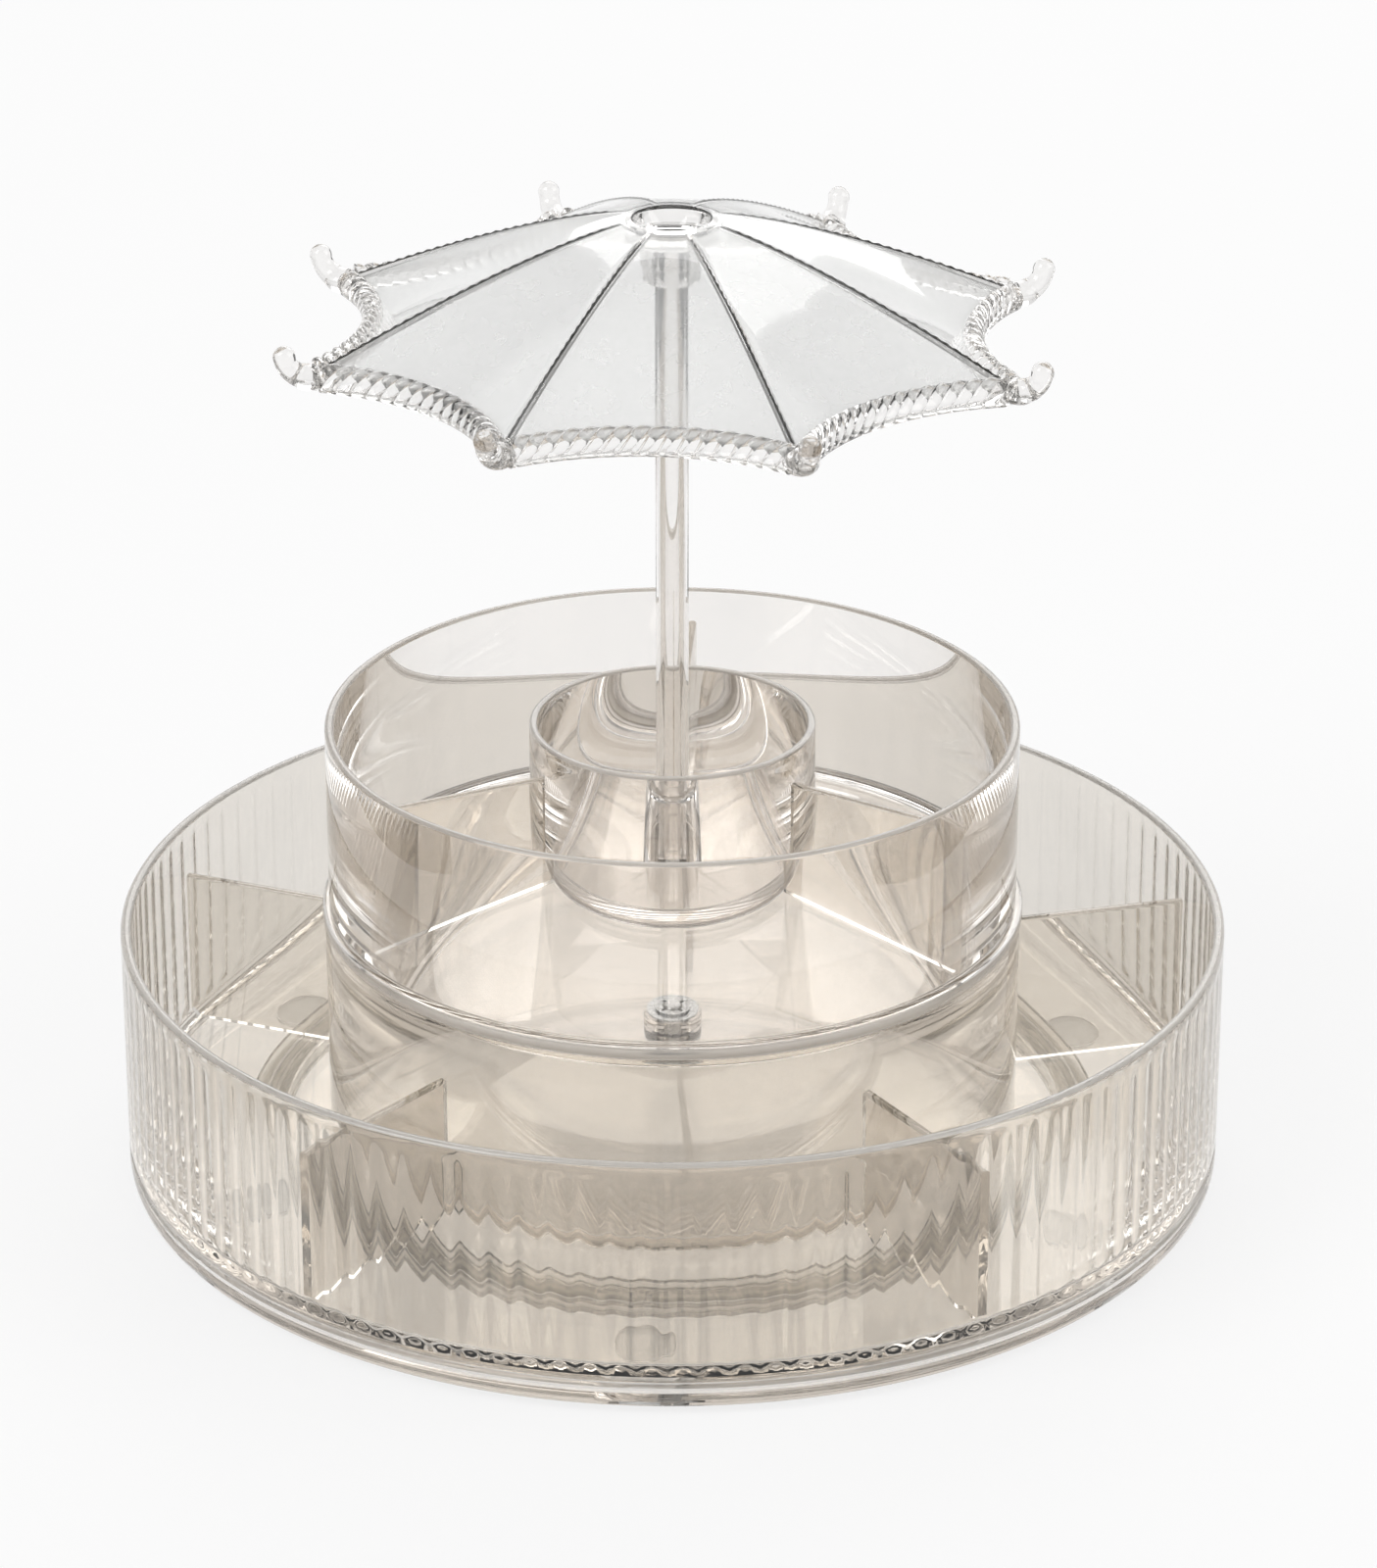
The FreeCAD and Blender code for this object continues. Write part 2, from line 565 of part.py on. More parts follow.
# ---------------------------------------------------------------- write the pieces
def pieces():
    race_low = BASE_TOP - RACE_SEAT
    made = {
        "base_plate": base_plate(),
        "lower_race": race(race_low, True),
        "upper_race": race(BALL_Z + RACE_GAP / 2, False),
        "ball_cage": ball_cage(),
        "bearing_balls": bearing_balls(),
        "pivot_pin": pivot_pin(),
        "pivot_washer": pivot_washer(),
        "pivot_clip": pivot_clip(),
        "lower_tray": lower_tray(),
        "support_drum": support_drum(),
        "upper_tray": upper_tray(),
        "centre_cup": centre_cup(),
        "pole_socket": pole_socket(),
        "umbrella_pole": umbrella_pole(),
        "canopy_hub": canopy_hub(),
        "canopy": canopy(),
    }
    for i, spot in enumerate(foot_spots()):
        made[f"foot_{i + 1}"] = foot(spot)
    for i in range(LOWER_DIVIDER_COUNT):
        made[f"lower_divider_{i + 1}"] = lower_divider(i)
    for i in range(UPPER_DIVIDER_COUNT):
        made[f"upper_divider_{i + 1}"] = upper_divider(i)
    for i in range(RIB_COUNT):
        made[f"rope_rim_{i + 1}"] = rope_rim(i)
        made[f"hook_{i + 1}"] = hook(i)
    return made


def main():
    os.makedirs("parts", exist_ok=True)
    for name, shape in pieces().items():
        if not shape.isValid():
            print("not valid:", name)
        shape.exportStep(f"parts/{name}.step")
        box = shape.BoundBox
        print(f"{name}: {len(shape.Solids)} solid, z {box.ZMin:.2f} to {box.ZMax:.2f}")


main()
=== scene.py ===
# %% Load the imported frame
import math

import bpy
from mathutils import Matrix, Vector


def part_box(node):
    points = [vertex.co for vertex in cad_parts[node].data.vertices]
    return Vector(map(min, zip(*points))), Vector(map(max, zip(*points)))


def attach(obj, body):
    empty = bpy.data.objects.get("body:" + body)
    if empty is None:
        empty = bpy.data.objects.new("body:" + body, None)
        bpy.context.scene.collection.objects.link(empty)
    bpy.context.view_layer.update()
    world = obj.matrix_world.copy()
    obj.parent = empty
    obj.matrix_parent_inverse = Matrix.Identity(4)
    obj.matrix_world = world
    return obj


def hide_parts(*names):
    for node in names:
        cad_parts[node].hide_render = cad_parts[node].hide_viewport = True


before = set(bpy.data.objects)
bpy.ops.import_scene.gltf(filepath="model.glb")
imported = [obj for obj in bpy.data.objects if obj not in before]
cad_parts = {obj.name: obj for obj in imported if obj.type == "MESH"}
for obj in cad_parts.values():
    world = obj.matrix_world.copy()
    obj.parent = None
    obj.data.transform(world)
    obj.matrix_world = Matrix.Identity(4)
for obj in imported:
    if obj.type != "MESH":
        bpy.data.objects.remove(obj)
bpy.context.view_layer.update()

# %% [markdown]
# # A clear turntable organizer with a jewellery umbrella
#
# The object is a wide fluted tray that turns on a round base, a smaller tray raised over its middle
# on a drum, a cup in the middle of that, and a clear umbrella on a pole. Almost all of it is clear
# plastic, so this lesson is about two things: round walls that bend light cleanly, and the few
# places where clear plastic turns dark or bright, which are its edges.
#
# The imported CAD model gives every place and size. Its round walls are flat facets, which is fine
# for collision and wrong for clear plastic: each facet would bend the light like a cut gem. So the
# round pieces are turned again here, smooth, and stand in for their CAD nodes. Their sizes are those
# of the solids, apart from the flutes and the umbrella's ribs, which are shallower here.
#
# What each piece is made of can't be read from how clear plastic looks. The plastics, the way they
# were moulded and the parts that are hidden are named here as a good guess, and said to be one.

# %% [markdown]
# A few moves come back for every piece: select it alone, pick some of its vertices, edges or faces by
# their place, settle it once its shape is done, and copy it round the axis. They are written once.
# All sizes are in millimetres and are multiplied by MM where they meet Blender, which works in metres.

# %% Units and small helpers
MM = 0.001
TURN = 2 * math.pi


def only(piece):
    """Make one piece the only selected and active one, in object mode."""
    if bpy.context.object and bpy.context.object.mode != "OBJECT":
        bpy.ops.object.mode_set(mode="OBJECT")
    bpy.ops.object.select_all(action="DESELECT")
    piece.select_set(True)
    bpy.context.view_layer.objects.active = piece
    return piece


def choose(piece, test, kind="VERT"):
    """In edit mode, select the vertices, edges or faces whose place passes the test (millimetres)."""
    bpy.ops.mesh.select_mode(type=kind)
    bpy.ops.mesh.select_all(action="DESELECT")
    bpy.ops.object.mode_set(mode="OBJECT")
    mesh = piece.data
    if kind == "VERT":
        for vertex in mesh.vertices:
            vertex.select = test(vertex.co / MM)
    elif kind == "EDGE":
        for edge in mesh.edges:
            a, b = (mesh.vertices[i].co / MM for i in edge.vertices)
            edge.select = test(a, b)
    else:
        for face in mesh.polygons:
            face.select = test(face.center / MM, face.normal)
    bpy.ops.object.mode_set(mode="EDIT")


def settle(piece, angle=30.0):
    """Put the piece's place into its mesh, close its seams, turn its faces out and smooth it."""
    only(piece)
    bpy.ops.object.transform_apply(location=True, rotation=True, scale=True)
    bpy.ops.object.mode_set(mode="EDIT")
    bpy.ops.mesh.select_all(action="SELECT")
    bpy.ops.mesh.remove_doubles(threshold=0.002 * MM)
    bpy.ops.mesh.normals_make_consistent(inside=False)
    bpy.ops.mesh.select_all(action="DESELECT")
    bpy.ops.object.mode_set(mode="OBJECT")
    bpy.ops.object.shade_smooth_by_angle(angle=math.radians(angle))
    return piece


def copy_round(piece, name, degrees):
    """A copy with its own mesh, turned about the upright axis, its turn put into the mesh."""
    other = piece.copy()
    other.data = piece.data.copy()
    other.name = name
    bpy.context.scene.collection.objects.link(other)
    only(other)
    other.rotation_euler = (0, 0, math.radians(degrees))
    bpy.ops.object.transform_apply(location=True, rotation=True, scale=True)
    return other


pieces = []


def finish(piece, material, body, slot, *nodes):
    """Give the piece its material and body, and hide the CAD nodes it stands for."""
    piece.data.materials.clear()
    piece.data.materials.append(material)
    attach(piece, body)
    if nodes:
        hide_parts(*nodes)
    pieces.append(piece)
    print(f"{piece.name}: {len(piece.data.vertices)} vertices, rides on {body}")
    return piece


# %% [markdown]
# ## Turning a round piece
#
# A tray, cup, drum, tube or collar is a body of revolution. By hand it is made in three moves: draw
# half of its section as a chain of points, round the corners with a vertex bevel, and spin the
# chain about the upright axis. Drawing the section is better than starting from a cylinder, because
# the wall, the floor and every small rounding come out in one go and stay concentric.

# %% A helper that draws a section and spins it
def turned(name, corners, steps, angle=30.0):
    """Body of revolution from (radius, height, rounding) corners in mm, closed back to the first."""
    if bpy.context.object and bpy.context.object.mode != "OBJECT":
        bpy.ops.object.mode_set(mode="OBJECT")
    bpy.ops.object.select_all(action="DESELECT")
    bpy.ops.mesh.primitive_plane_add(size=MM)
    piece = bpy.context.object
    piece.name = name
    piece.data.name = name
    places = [Vector((r, 0, z)) * MM for r, z, _ in corners]
    bpy.ops.object.mode_set(mode="EDIT")
    bpy.ops.mesh.select_mode(type="VERT")
    bpy.ops.mesh.select_all(action="SELECT")
    bpy.ops.mesh.merge(type="CENTER")
    bpy.ops.transform.translate(value=places[0])
    for here, there in zip(places, places[1:]):
        bpy.ops.mesh.extrude_region_move(TRANSFORM_OT_translate={"value": there - here})
    first, last = places[0] / MM, places[-1] / MM
    if first.x > 1e-6 or last.x > 1e-6:
        choose(piece, lambda p: min((p - first).length, (p - last).length) < 1e-3)
        bpy.ops.mesh.edge_face_add()
    for size in sorted({c[2] for c in corners if c[2]}):
        spots = [Vector((r, 0, z)) for r, z, rounding in corners if rounding == size]
        choose(piece, lambda p: any((p - s).length < 1e-3 for s in spots))
        segments = 2 if size < 1 else 4
        bpy.ops.mesh.bevel(offset=size * MM, segments=segments, affect="VERTICES", profile=0.5)
    bpy.ops.mesh.select_all(action="SELECT")
    bpy.ops.mesh.spin(steps=steps, angle=TURN, center=(0, 0, 0), axis=(0, 0, 1))
    bpy.ops.object.mode_set(mode="OBJECT")
    return settle(piece, angle)


# %% [markdown]
# ## Sizes shared by several pieces
#
# The umbrella's shell, its rope edge and its hooks all meet along the same eight scallops, so the
# numbers that place those scallops are written once.

# %% Places read from the frame, in millimetres
def height(node):
    """Lowest and highest point of a CAD node."""
    low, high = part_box(node)
    return low.z / MM, high.z / MM


SEAM = 0.03  # air between clear pieces that touch, so light leaves one before it enters the next
TRAY_LOW, TRAY_RIM = height("lower_tray")
DRUM_LOW, DRUM_TOP = height("support_drum")
_, UPPER_RIM = height("upper_tray")
CUP_LOW, CUP_TOP = height("centre_cup")
POLE_FOOT, POLE_TOP = height("umbrella_pole")
COLLAR_FOOT, COLLAR_TOP = height("canopy_hub")
print("tray rim", round(TRAY_RIM, 1), "upper rim", round(UPPER_RIM, 1), "pole top", round(POLE_TOP, 1))

RIBS = 8
HALF_PANEL = math.pi / RIBS
RIM_Z = 237.4  # height of the rope edge's centre line
TIP_R = 98.4  # radius of the rib tips
CROWN_R = 12.0
CROWN_Z = RIM_Z + 31.8
SCALLOP = 12.2  # how far a panel's edge curves in from a straight line


def tip_angle(k):
    """Direction of a rib tip. The front panel lies between ribs 0 and 1."""
    return -math.pi / 2 + HALF_PANEL * (2 * k - 1)


# %% [markdown]
# ## Plastics and metal
#
# Clear plastic is a dielectric: light goes in, bends, and comes out. What the eye reads as "clear
# acrylic" is not the flat face, which nearly vanishes, but the edge. Seen along its edge, light
# crosses many centimetres of plastic and a faint tint adds up. So the tint is not painted on the
# surface: it sits in the volume, as absorption per millimetre, and the edges go grey by themselves.
#
# Moulded plastic is never quite flat. As the melt cools it sinks a little, so a very low, wide
# ripple goes on the surface as bump. It makes reflections swim slightly, as they do on the real one.

# %% Colour and node helpers
def linear(code):
    """Scene-linear colour from an sRGB hex code."""
    parts = [int(code[i:i + 2], 16) / 255 for i in (1, 3, 5)]
    parts = [c / 12.92 if c <= 0.04045 else ((c + 0.055) / 1.055) ** 2.4 for c in parts]
    return (*parts, 1.0)


def add(tree, kind, links=(), **settings):
    """Add a node, set its properties or inputs, and link (output, input name) pairs into it."""
    node = tree.nodes.new(kind)
    for key, value in settings.items():
        name = key.replace("_", " ")
        if hasattr(node, key):
            setattr(node, key, value)
        else:
            node.inputs[name].default_value = value
    for source, target in links:
        tree.links.new(source, node.inputs[target])
    return node


def material(name):
    """Empty material; the caller fills it from its output backwards."""
    made = bpy.data.materials.new(name)
    made.use_nodes = True
    made.node_tree.nodes.clear()
    return made, made.node_tree


# %% [markdown]
# One recipe makes every clear plastic here. The body is a Principled shader with full transmission,
# the tint sits in a Volume Absorption behind it, and two noises break up the perfect surface: a wide
# one as bump for the sink ripple, and a finer one for roughness, because clear plastic is never
# equally clean all over.

# %% A clear moulded plastic
def clear_plastic(name, ior, face, tint, per_metre, ripple_mm, ripple, haze, veil=0.0):
    """Clear plastic: a tinted depth, a faint tint at each face, a sink ripple and a trace of haze.

    Veil is the share of light that a satin or rubbed face scatters and does not let straight through.
    """
    made, tree = material(name)
    place = add(tree, "ShaderNodeTexCoord").outputs["Object"]
    wave = add(tree, "ShaderNodeTexNoise", [(place, "Vector")], Scale=1 / (ripple_mm * MM), Detail=1.0)
    bump = add(tree, "ShaderNodeBump", [(wave.outputs["Fac"], "Height")], Strength=ripple, Distance=0.4 * MM)
    rub = add(tree, "ShaderNodeTexNoise", [(place, "Vector")], Scale=1 / (9 * MM), Detail=4.0)
    rough = add(tree, "ShaderNodeMapRange", [(rub.outputs["Fac"], "Value")])
    rough.inputs["From Min"].default_value = 0.45
    rough.inputs["From Max"].default_value = 0.75
    rough.inputs["To Min"].default_value = haze[0]
    rough.inputs["To Max"].default_value = haze[1]
    cloud = add(tree, "ShaderNodeMapRange", [(rub.outputs["Fac"], "Value")])
    cloud.inputs["From Min"].default_value = 0.35
    cloud.inputs["From Max"].default_value = 0.7
    cloud.inputs["To Min"].default_value = 1 - veil * 0.94
    cloud.inputs["To Max"].default_value = 1 - veil * 1.06
    body = add(tree, "ShaderNodeBsdfPrincipled",
               [(bump.outputs["Normal"], "Normal"), (rough.outputs["Result"], "Roughness"),
                (cloud.outputs["Result"], "Transmission Weight")], IOR=ior)
    body.inputs["Base Color"].default_value = linear(face)
    depth = add(tree, "ShaderNodeVolumeAbsorption", Density=per_metre)
    depth.inputs["Color"].default_value = linear(tint)
    add(tree, "ShaderNodeOutputMaterial", [(body.outputs[0], "Surface"), (depth.outputs[0], "Volume")])
    return made


STYRENE, ACRYLIC = 1.56, 1.49  # how strongly each plastic bends light
WARM, GREY = "#CABBA6", "#BEBBB6"  # what is left of white after a long way through each
# The trays look slightly warm, so they are taken to be polystyrene. Each face takes a little blue
# away, so the eye finds it clear as one wall and warm grey as a stack of floors.
tray_plastic = clear_plastic("Clear polystyrene, injection moulded", STYRENE, "#ECE8E2", WARM, 3.0,
                             38, 0.10, (0.0, 0.02))
# The upper tier and the base look clearer than the tray, for a reason that isn't known. Here their
# faces take less light away, and the name stands for one possible reason.
upper_plastic = clear_plastic("Clear polystyrene, polished tool", STYRENE, "#F9F7F5", WARM, 3.0,
                              38, 0.10, (0.0, 0.02))
# The lip of a moulding is where the mould halves meet and where hands rub. It is a trace matt, so it
# catches the overhead light and runs round the tray as a pale line.
tray_lip = clear_plastic("Clear polystyrene, rubbed lip", STYRENE, "#F7F5F1", WARM, 3.0,
                         38, 0.10, (0.1, 0.25), 0.3)
# The umbrella looks whiter than the trays, so it is taken to be acrylic. This is its polished finish,
# for rope, hooks and ribs, which show every edge.
umbrella_plastic = clear_plastic("Clear acrylic, injection moulded", ACRYLIC, "#FCFBFA", GREY, 12.0,
                                 22, 0.10, (0.0, 0.03))
# The panels veil what is behind them in even pale grey. A finely etched mould face would do that.
satin_plastic = clear_plastic("Clear acrylic, satin mould face", ACRYLIC, "#FCFCFB", GREY, 6.0,
                              22, 0.10, (0.04, 0.09), 0.27)
# A drawn tube has the cleanest surface of all, with nothing moulded or rubbed on it.
tube_plastic = clear_plastic("Clear acrylic, extruded", ACRYLIC, "#FCFBFA", GREY, 6.0,
                             60, 0.06, (0.0, 0.01))
print("clear plastics:", len(bpy.data.materials))


def second_coat(piece, material, test):
    """Give the faces whose centre passes the test (millimetres) another material."""
    piece.data.materials.append(material)
    spot = len(piece.data.materials) - 1
    for face in piece.data.polygons:
        if test(face.center / MM):
            face.material_index = spot


# %% [markdown]
# The turntable's working parts are hidden, so their materials are guesses. Natural nylon is milky,
# because its crystals scatter light. Made that way, the races showed through the floors as a dark
# grey ring that the object doesn't have. So this nylon is far clearer than real nylon, for the look
# alone. Why the ring was dark wasn't found out: the light here may be the cause, or the real races may
# be clear or smaller. The balls are ground bearing steel, the pin is zinc plated, and the feet are
# soft silicone with a dull moulded skin.

# %% Nylon, steel, zinc plate and silicone
def milky_nylon():
    """Nylon made clearer than it is, with pale clouds in it and a faint mould texture."""
    made, tree = material("Nylon, natural, injection moulded")
    place = add(tree, "ShaderNodeTexCoord").outputs["Object"]
    cloud = add(tree, "ShaderNodeTexNoise", [(place, "Vector")], Scale=1 / (6 * MM), Detail=3.0)
    ramp = add(tree, "ShaderNodeValToRGB", [(cloud.outputs["Fac"], "Fac")])
    ramp.color_ramp.elements[0].color = linear("#F0EEE9")
    ramp.color_ramp.elements[1].color = linear("#FAF9F6")
    skin = add(tree, "ShaderNodeBump", [(cloud.outputs["Fac"], "Height")], Strength=0.15, Distance=0.1 * MM)
    body = add(tree, "ShaderNodeBsdfPrincipled",
               [(ramp.outputs["Color"], "Base Color"), (skin.outputs["Normal"], "Normal")],
               Roughness=0.12, IOR=1.53)
    body.inputs["Transmission Weight"].default_value = 0.93
    add(tree, "ShaderNodeOutputMaterial", [(body.outputs[0], "Surface")])
    return made


def bare_metal(name, dark, light, grain_mm, low, high):
    """Metal with colour and roughness that vary with its grain or plating."""
    made, tree = material(name)
    place = add(tree, "ShaderNodeTexCoord").outputs["Object"]
    grain = add(tree, "ShaderNodeTexNoise", [(place, "Vector")], Scale=1 / (grain_mm * MM), Detail=5.0)
    ramp = add(tree, "ShaderNodeValToRGB", [(grain.outputs["Fac"], "Fac")])
    ramp.color_ramp.elements[0].color = linear(dark)
    ramp.color_ramp.elements[1].color = linear(light)
    rough = add(tree, "ShaderNodeMapRange", [(grain.outputs["Fac"], "Value")])
    rough.inputs["To Min"].default_value = low
    rough.inputs["To Max"].default_value = high
    body = add(tree, "ShaderNodeBsdfPrincipled",
               [(ramp.outputs["Color"], "Base Color"), (rough.outputs["Result"], "Roughness")], Metallic=1.0)
    add(tree, "ShaderNodeOutputMaterial", [(body.outputs[0], "Surface")])
    return made


def soft_silicone():
    """Frosted rubber with a fine pebbled skin."""
    made, tree = material("Silicone rubber, compression moulded")
    place = add(tree, "ShaderNodeTexCoord").outputs["Object"]
    skin = add(tree, "ShaderNodeTexNoise", [(place, "Vector")], Scale=1 / (0.8 * MM), Detail=2.0)
    bump = add(tree, "ShaderNodeBump", [(skin.outputs["Fac"], "Height")], Strength=0.3, Distance=0.05 * MM)
    ramp = add(tree, "ShaderNodeValToRGB", [(skin.outputs["Fac"], "Fac")])
    ramp.color_ramp.elements[0].color = linear("#E6E7E7")
    ramp.color_ramp.elements[1].color = linear("#F4F4F4")
    body = add(tree, "ShaderNodeBsdfPrincipled",
               [(ramp.outputs["Color"], "Base Color"), (bump.outputs["Normal"], "Normal")],
               Roughness=0.6, IOR=1.41)
    body.inputs["Transmission Weight"].default_value = 0.8
    add(tree, "ShaderNodeOutputMaterial", [(body.outputs[0], "Surface")])
    return made


nylon = milky_nylon()
ball_steel = bare_metal("Bearing steel, ground and polished", "#BDBEBF", "#D8D9DA", 1.5, 0.08, 0.16)
zinc_plate = bare_metal("Steel, bright zinc plated", "#AEB4B8", "#CDD1D4", 2.5, 0.2, 0.35)
silicone = soft_silicone()
print("materials:", [m.name for m in bpy.data.materials])

# %% [markdown]
# ## The base
#
# Some shapes can't be spun: the foot pockets and the ball pockets interrupt the round. They are cut
# with a boolean, which takes one piece out of another. The cutters are joined first, so that one cut
# makes all the pockets.

# %% Joining and cutting
def join(name, parts):
    """Join parts into one piece whose place is in its mesh."""
    only(parts[0])
    for part in parts:
        part.select_set(True)
    bpy.ops.object.join()
    bpy.ops.object.transform_apply(location=True, rotation=True, scale=True)
    parts[0].name = name
    return parts[0]


def cut_out(piece, cutter):
    """Take the cutter's shape out of the piece, then throw the cutter away."""
    only(piece)
    cut = piece.modifiers.new("cut", "BOOLEAN")
    cut.operation = "DIFFERENCE"
    cut.object = cutter
    bpy.ops.object.modifier_apply(modifier="cut")
    bpy.data.objects.remove(cutter)
    return settle(piece)


# %% [markdown]
# The base is a shallow round plate with a raised edge, a recess for the ball race and a small boss
# for the pivot pin. All of it is one moulding and one section, drawn from the pin hole outwards. Six
# round pockets in its underside hold the feet.

# %% Base plate
BASE_LOW, BASE_RISE = height("base_plate")
BASE_FLOOR, BASE_RIM = 4.5, 7.8
HEAD_SEAT = 2.6  # the pin's head sits in a recess this deep in the underside
OUTER = 150.0
EDGE_IN = 145.5  # inside of the raised edge
PIN_HOLE, HEAD_HOLE, BOSS_R = 3.06, 6.06, 9
RACE_MID, RACE_HALF, RACE_SEAT = 112.0, 5.2, 0.5
base = turned("base_disc", [
    (PIN_HOLE, HEAD_SEAT, 0), (HEAD_HOLE, HEAD_SEAT, 0), (HEAD_HOLE, BASE_LOW, 0), (OUTER, BASE_LOW, 2.6),
    (OUTER, BASE_RIM, 0.7), (EDGE_IN, BASE_RIM, 0.5), (EDGE_IN, BASE_FLOOR, 0),
    (RACE_MID + RACE_HALF, BASE_FLOOR, 0),
    (RACE_MID + RACE_HALF, BASE_FLOOR - RACE_SEAT, 0), (RACE_MID - RACE_HALF, BASE_FLOOR - RACE_SEAT, 0),
    (RACE_MID - RACE_HALF, BASE_FLOOR, 0), (BOSS_R, BASE_FLOOR, 0), (BOSS_R, BASE_RISE, 0.4),
    (PIN_HOLE, BASE_RISE, 0),
], 240)
FEET, FEET_RING, FOOT_R = 6, 128, 8
bpy.ops.object.select_all(action="DESELECT")
plugs = []
for i in range(FEET):
    turn = math.radians(60 * i + 30)
    spot = Vector((FEET_RING * math.cos(turn), FEET_RING * math.sin(turn), 0.3 + SEAM)) * MM
    bpy.ops.mesh.primitive_cylinder_add(vertices=64, radius=FOOT_R * MM, depth=4 * MM, location=spot)
    plugs.append(bpy.context.object)
cut_out(base, join("foot_cutter", plugs))
finish(base, upper_plastic, "base", "clear_tray", "base_plate")
second_coat(base, tray_lip, lambda p: math.hypot(p.x, p.y) > EDGE_IN + 0.1 and p.z > BASE_RIM - 0.7)

# %% [markdown]
# Two nylon races face each other across the balls. The groove is a true circle in section, so the
# ball bears on it evenly. It is drawn here as a short run of points on that circle. Between the
# races runs the cage, a flat ring that keeps the balls apart.

# %% Races and cage
BALL_Z = 7.1
BALL_R = 2.0
BALLS = 12


def race(name, flat, lip, body, node):
    """Ring from a flat seat to a lip at the balls, with the ball groove in the lip."""
    groove_r = BALL_R + 0.3
    half = math.sqrt(groove_r ** 2 - (lip - BALL_Z) ** 2)
    away = 1 if flat > lip else -1
    groove = []
    for i in range(9):
        x = half * (1 - i / 4)
        groove.append((RACE_MID + x, BALL_Z + away * math.sqrt(groove_r ** 2 - x ** 2), 0))
    section = [(RACE_MID - 5, flat, 0), (RACE_MID + 5, flat, 0), (RACE_MID + 5, lip, 0.4)]
    section += groove + [(RACE_MID - 5, lip, 0.4)]
    ring = turned(name, section, 160)
    return finish(ring, nylon, body, "race_nylon", node)


race("race_under", height("lower_race")[0] + SEAM, 5.9, "base", "lower_race")
race("race_over", height("upper_race")[1] - SEAM, 8.3, "tray", "upper_race")

CAGE_HALF = 3.5
cage_low, cage_high = height("ball_cage")
cage = turned("cage_ring", [
    (RACE_MID - CAGE_HALF, cage_low, 0.2), (RACE_MID + CAGE_HALF, cage_low, 0.2),
    (RACE_MID + CAGE_HALF, cage_high, 0.2), (RACE_MID - CAGE_HALF, cage_high, 0.2),
], 180)
print("cage faces:", len(cage.data.polygons))

# %% [markdown]
# Each ball sits in a pocket. A boolean cut is the quick way to make a round hole through a curved
# ring: one cutter, joined from twelve short rods, takes all the pockets out in one go.

# %% Pockets and balls
bpy.ops.object.select_all(action="DESELECT")
rods = []
balls = []
for i in range(BALLS):
    turn = TURN * i / BALLS
    spot = Vector((RACE_MID * math.cos(turn), RACE_MID * math.sin(turn), BALL_Z)) * MM
    bpy.ops.mesh.primitive_cylinder_add(vertices=32, radius=(BALL_R + 0.2) * MM, depth=4 * MM, location=spot)
    rods.append(bpy.context.object)
    bpy.ops.mesh.primitive_ico_sphere_add(subdivisions=3, radius=BALL_R * MM, location=spot)
    bpy.ops.object.shade_smooth()
    balls.append(bpy.context.object)
cut_out(cage, join("pocket_cutter", rods))
finish(cage, nylon, "cage", "race_nylon", "ball_cage")
finish(join("steel_balls", balls), ball_steel, "cage", "bearing_steel", "bearing_balls")

# %% [markdown]
# The pin, washer, clip and feet are small and true in the CAD model, so their nodes stay and only
# change their finish.

# %% Finishes of the CAD nodes that stay
def dress(node, coat):
    """Give a CAD node that stays visible its material."""
    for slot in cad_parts[node].material_slots:
        slot.material = coat


for node in ("pivot_pin", "pivot_washer", "pivot_clip"):
    dress(node, zinc_plate)
for i in range(FEET):
    dress(f"foot_{i + 1}", silicone)
print("feet and pin keep their CAD shape")

# %% [markdown]
# ## The lower tray
#
# A turned tray with a fluted outside. The flutes are shallow scoops, 120 of them, that stop short
# of a plain lip at the top and a plain band at the bottom. They are made from the turned wall: it is
# spun in six steps per flute, so every flute has columns of vertices between two crests, and those
# columns are drawn in towards the axis by the depth of the scoop at that place.

